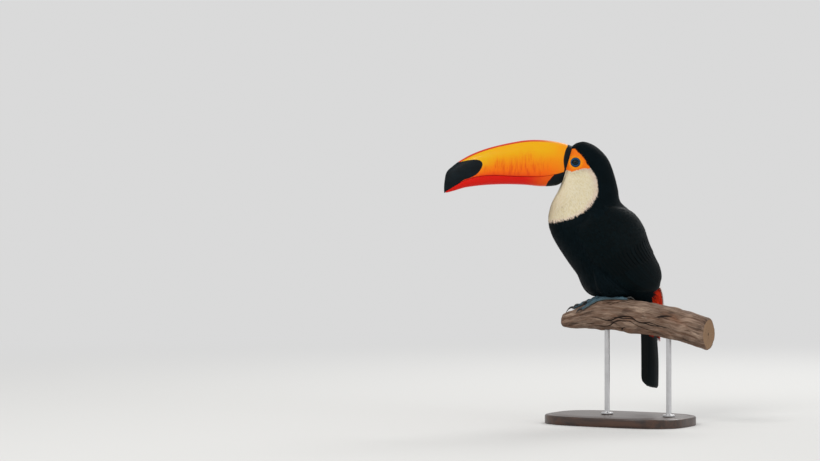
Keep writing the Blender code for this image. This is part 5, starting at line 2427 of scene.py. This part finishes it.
@dataclass(frozen=True)
class EyeFinish:
    """A dark wet eye: a black pupil in a deep blue-green iris."""

    name: str = "eye"

    def make(self) -> bpy.types.Material:
        """Rings by the distance from the line of sight, under a clear coat.

        Returns:
            The material.
        """
        f = Finish(self.name)
        off = f.read("from_pupil")
        rays = f.noise(f.place(), 900, 3)
        iris = f.mix(rays.between(0.3, 0.7), srgb(6, 22, 28), srgb(20, 42, 48))
        iris = f.mix((off + rays * 0.3).between(3.3, 4.1), iris, srgb(14, 26, 34))
        f.colour = f.mix(off.between(2.35, 2.15), iris, (0.002, 0.002, 0.003))
        wet = {"Specular IOR Level": 0.05, "Coat Weight": 0.26, "Coat Roughness": 0.02}
        return f.principled(0.10, None, wet)


@dataclass(frozen=True)
class LegFinish:
    """Blue-grey scaled skin, with painted shade in the grooves between its scutes."""

    name: str = "leg skin"
    blue: tuple = srgb(58, 92, 106)
    grey: tuple = srgb(42, 68, 80)

    def make(self) -> bpy.types.Material:
        """Cells between the scutes and painted shade in the grooves.

        Returns:
            The material.
        """
        f = Finish(self.name)
        where = f.place()
        cells = f.cells(where, 1300)
        broad = f.noise(where, 160, 3)
        f.colour = f.mix(broad.between(0.3, 0.7), self.grey, self.blue)
        # painted shade: the grooves between the scutes are darkened
        f.lay(f.read("groove").between(0.15, 0.9) * 0.75, srgb(20, 34, 44))
        f.lay(f.read("upward").between(-0.2, -0.8) * 0.5, srgb(112, 122, 118))
        relief = f.bump(cells * 0.5 + broad * 0.4, 0.00015, 0.6)
        return f.principled(0.42 + broad * 0.2, relief, {"Specular IOR Level": 0.45})


@dataclass(frozen=True)
class ClawFinish:
    """Dark horn, paler and smoother towards its point."""

    name: str = "claw horn"

    def make(self) -> bpy.types.Material:
        """Fine lines run along the claw.

        Returns:
            The material.
        """
        f = Finish(self.name)
        share = f.read("share")
        lines = f.noise(f.place((1, 1, 0.3)), 1400, 3)
        f.colour = f.mix(share.between(0.2, 1.0) * 0.7, srgb(22, 24, 26), srgb(66, 58, 50))
        f.lay(lines.between(0.4, 0.7) * 0.3, srgb(12, 12, 13))
        return f.principled(0.26 + lines * 0.14, f.bump(lines, 0.00008, 0.5))


@dataclass(frozen=True)
class BranchFinish:
    """Weathered bare wood: grey-brown strands, warm inner wood, ringed ends and painted shade in
    cracks.
    """

    name: str = "branch wood"
    grey: tuple = srgb(138, 116, 100)
    brown: tuple = srgb(104, 78, 62)
    dark: tuple = srgb(50, 36, 28)
    warm: tuple = srgb(142, 94, 66)
    pale: tuple = srgb(184, 160, 140)

    def make(self) -> bpy.types.Material:
        """Colours follow a vector that runs along the fibres.

        Returns:
            The material.
        """
        f = Finish(self.name)
        fibre = f.read("fibre", "Vector")
        crack, end, out = f.read("crack"), f.read("end"), f.read("out")
        strands = f.noise(f.place((0.055, 1, 1), source=fibre), 1100, 5, 0.65)
        bands = f.noise(f.place((0.10, 1, 1), source=fibre), 300, 4, 0.6)
        patches = f.noise(f.place((0.35, 1, 1), source=fibre), 46, 4, 0.6)
        specks = f.noise(f.place(source=fibre), 1500, 3)
        f.colour = f.mix(bands.between(0.34, 0.66), self.brown, self.grey)
        f.lay(patches.between(0.50, 0.72) * 0.45, self.warm)
        f.lay(patches.between(0.42, 0.28) * 0.7, self.pale)
        f.lay(strands.between(0.52, 0.36) * 0.7, self.dark)
        f.lay(strands.between(0.60, 0.74) * 0.4, self.pale)
        # painted shade: the hollows of the relief are darkened, and the raised strands are laid
        # paler
        rise = f.read("rise") + (strands - 0.5) * 1.2
        f.lay(rise.between(-0.1, -1.1) * 0.75, self.dark)
        f.lay(rise.between(0.5, 1.6) * 0.45, self.pale)
        f.lay(specks.between(0.62, 0.75) * 0.35, self.dark)
        rings = ((out * out * 9 + out * 3 + patches * 2.5) * FULL_TURN).sine() * 0.5 + 0.5
        cut = f.mix(rings.between(0.2, 0.9) * 0.6, srgb(134, 104, 78), srgb(168, 138, 106))
        cut = f.mix(out.between(0.12, 0.02), cut, self.dark)
        cut = f.mix(specks.between(0.5, 0.8) * 0.4, cut, self.brown)
        f.lay(end, cut)
        # painted shade: the cracks are filled with near-black
        f.lay(crack.between(0.15, 0.75) * 0.92, srgb(24, 17, 13))
        relief = f.bump(strands + bands * 0.9 + specks * 0.25, 0.0011, 0.75)
        return f.principled(0.74 + strands * 0.18, relief, {"Specular IOR Level": 0.28})


@dataclass(frozen=True)
class StandWoodFinish:
    """Dark stained wood with a satin varnish, its grain along the base."""

    name: str = "stand base wood"

    def make(self) -> bpy.types.Material:
        """Long grain and fine pores, turned with the base.

        Returns:
            The material.
        """
        f = Finish(self.name)
        level = f.place(turn=(0, 0, -BRANCH.heading))
        grain = f.noise(f.place((0.07, 1, 0.6), source=level), 210, 5, 0.6)
        pores = f.noise(f.place((0.05, 1, 1), source=level), 1200, 2)
        f.colour = f.mix(grain.between(0.3, 0.7), srgb(36, 22, 15), srgb(72, 44, 28))
        f.lay(pores.between(0.58, 0.72) * 0.6, srgb(18, 11, 8))
        relief = f.bump(grain * 0.5 + pores, 0.00015, 0.4)
        varnish = {"Coat Weight": 0.25, "Coat Roughness": 0.25}
        return f.principled(0.34 + pores * 0.14, relief, varnish)


@dataclass(frozen=True)
class SteelFinish:
    """Brushed steel, its lines running round the rods."""

    name: str = "rod steel"

    def make(self) -> bpy.types.Material:
        """Fine level lines in colour, roughness and relief.

        Returns:
            The material.
        """
        f = Finish(self.name)
        lines = f.noise(f.place((0.04, 0.04, 1)), 2600, 3)
        smudge = f.noise(f.place(), 90, 3)
        f.colour = f.mix(smudge.between(0.3, 0.8) * 0.5, (0.60, 0.60, 0.61), (0.48, 0.48, 0.49))
        rough = 0.24 + lines * 0.16 + smudge * 0.08
        return f.principled(rough, f.bump(lines, 0.00004, 0.5), {"Metallic": 1.0})


# ---- floor, light and camera
@dataclass(frozen=True)
class Studio:
    """A plain pale floor, soft light and a level camera."""

    camera_place: tuple = (-0.3255, -3.604, 0.2996)
    lens: float = 102.1
    pale: tuple = (0.70, 0.70, 0.69)
    sky: float = 0.70

    def floor(self) -> None:
        """A wide disc whose colour gives way to the sky's far from the middle."""
        f = Finish("floor")
        share = f.node("VectorMath", {0: f.place()}, 1, operation="LENGTH").between(0.5, 3.0)
        ground = f.node("BsdfDiffuse", {"Color": self.pale})
        glow = f.node("Emission", {"Color": (self.sky,) * 3})
        finish = f.done(f.node("MixShader", {0: share, 1: ground, 2: glow}))
        radius = np.array([0.0005, 0.5, 1, 2, 4, 8, 16, 32])[:, None]
        turn = turns(96)
        points = np.stack([radius * np.cos(turn), radius * np.sin(turn), 0 * radius * turn], -1)
        form = Form("floor")
        form.add(points, [grid_faces(*points.shape[:2], True)], inside_out=True)
        disc = linked("floor", form.mesh())
        disc.data.materials.append(finish)

    def lamp(self, name: str, place: tuple, size: float, power: float, warmth: float) -> None:
        """A square soft light aimed at the bird.

        Args:
            name: its name.
            place: where it hangs.
            size: its side in metres.
            power: watts.
            warmth: 0 for white light, more for yellower.
        """
        data = bpy.data.lights.new(name, "AREA")
        data.energy, data.size, data.shape = power, size, "SQUARE"
        data.color = (1.0, 1.0 - 0.05 * warmth, 1.0 - 0.12 * warmth)
        lamp = linked(name, data)
        lamp.location = place
        aim = Vector((-0.05, 0.0, 0.27)) - Vector(place)
        lamp.rotation_euler = aim.to_track_quat("-Z", "Y").to_euler()

    def build(self) -> None:
        """Sets floor, lamps, sky and camera."""
        self.floor()
        self.lamp("key", (-1.6, -2.0, 2.3), 1.0, 34, 0.3)
        self.lamp("fill", (2.4, -1.8, 1.2), 1.8, 12, 0.0)
        self.lamp("rim", (1.0, 2.0, 2.2), 1.4, 34, 0.2)
        scene = bpy.context.scene
        world = bpy.data.worlds.new("sky")
        world.use_nodes = True
        back = world.node_tree.nodes["Background"]
        back.inputs["Color"].default_value = (self.sky, self.sky, self.sky, 1)
        back.inputs["Strength"].default_value = 1.0
        scene.world = world
        scene.view_settings.view_transform = "Standard"
        data = bpy.data.cameras.new("camera")
        data.lens, data.sensor_width, data.clip_end = self.lens, 36.0, 100.0
        scene.camera = linked("camera", data)
        scene.camera.location = self.camera_place
        scene.camera.rotation_euler = (math.pi / 2, 0, 0)


# ---- the whole
def plain(box: Any) -> list[list[float]]:
    """A box as plain lists of numbers."""
    return [[float(v) for v in corner] for corner in box]


def main() -> None:
    """Builds every piece in order."""
    logging.basicConfig(level=logging.INFO, format="%(message)s")
    Studio().build()
    plumage = PlumageFinish("plumage").make()
    quills = QuillFinish("flight feathers").make()
    tail = QuillFinish("tail feathers", edge=srgb(30, 42, 47), barbs=240.0, gloss=0.36).make()
    horn = BillFinish().make()
    eye = EyeFinish().make()
    leg = LegFinish().make()
    claw = ClawFinish().make()
    Branch().build(BranchFinish().make())
    stand = Stand()
    stand.base(StandWoodFinish().make())
    stand.rods(SteelFinish().make())
    Bill().build(horn)
    for side in SIDES:
        Eyeball().build(side, eye)
    Skin().build(PlumageFinish("skin", bare_skin=True).make())
    BodyCoat().build(plumage)
    SoftCoverts("white", 0.00070, 0.0135, 0.00082, 0.0009, 0.0030, 31).build(plumage)
    SoftCoverts("red", 0.00120, 0.017, 0.00115, 0.0010, 0.0, 33).build(plumage)
    for side in SIDES:
        WingCoat(side).build(quills)
    TailCoat().build(tail)
    for side in SIDES:
        foot = Foot(side)
        foot.skin(leg)
        foot.claws(claw)


if __name__ == "__main__":
    main()
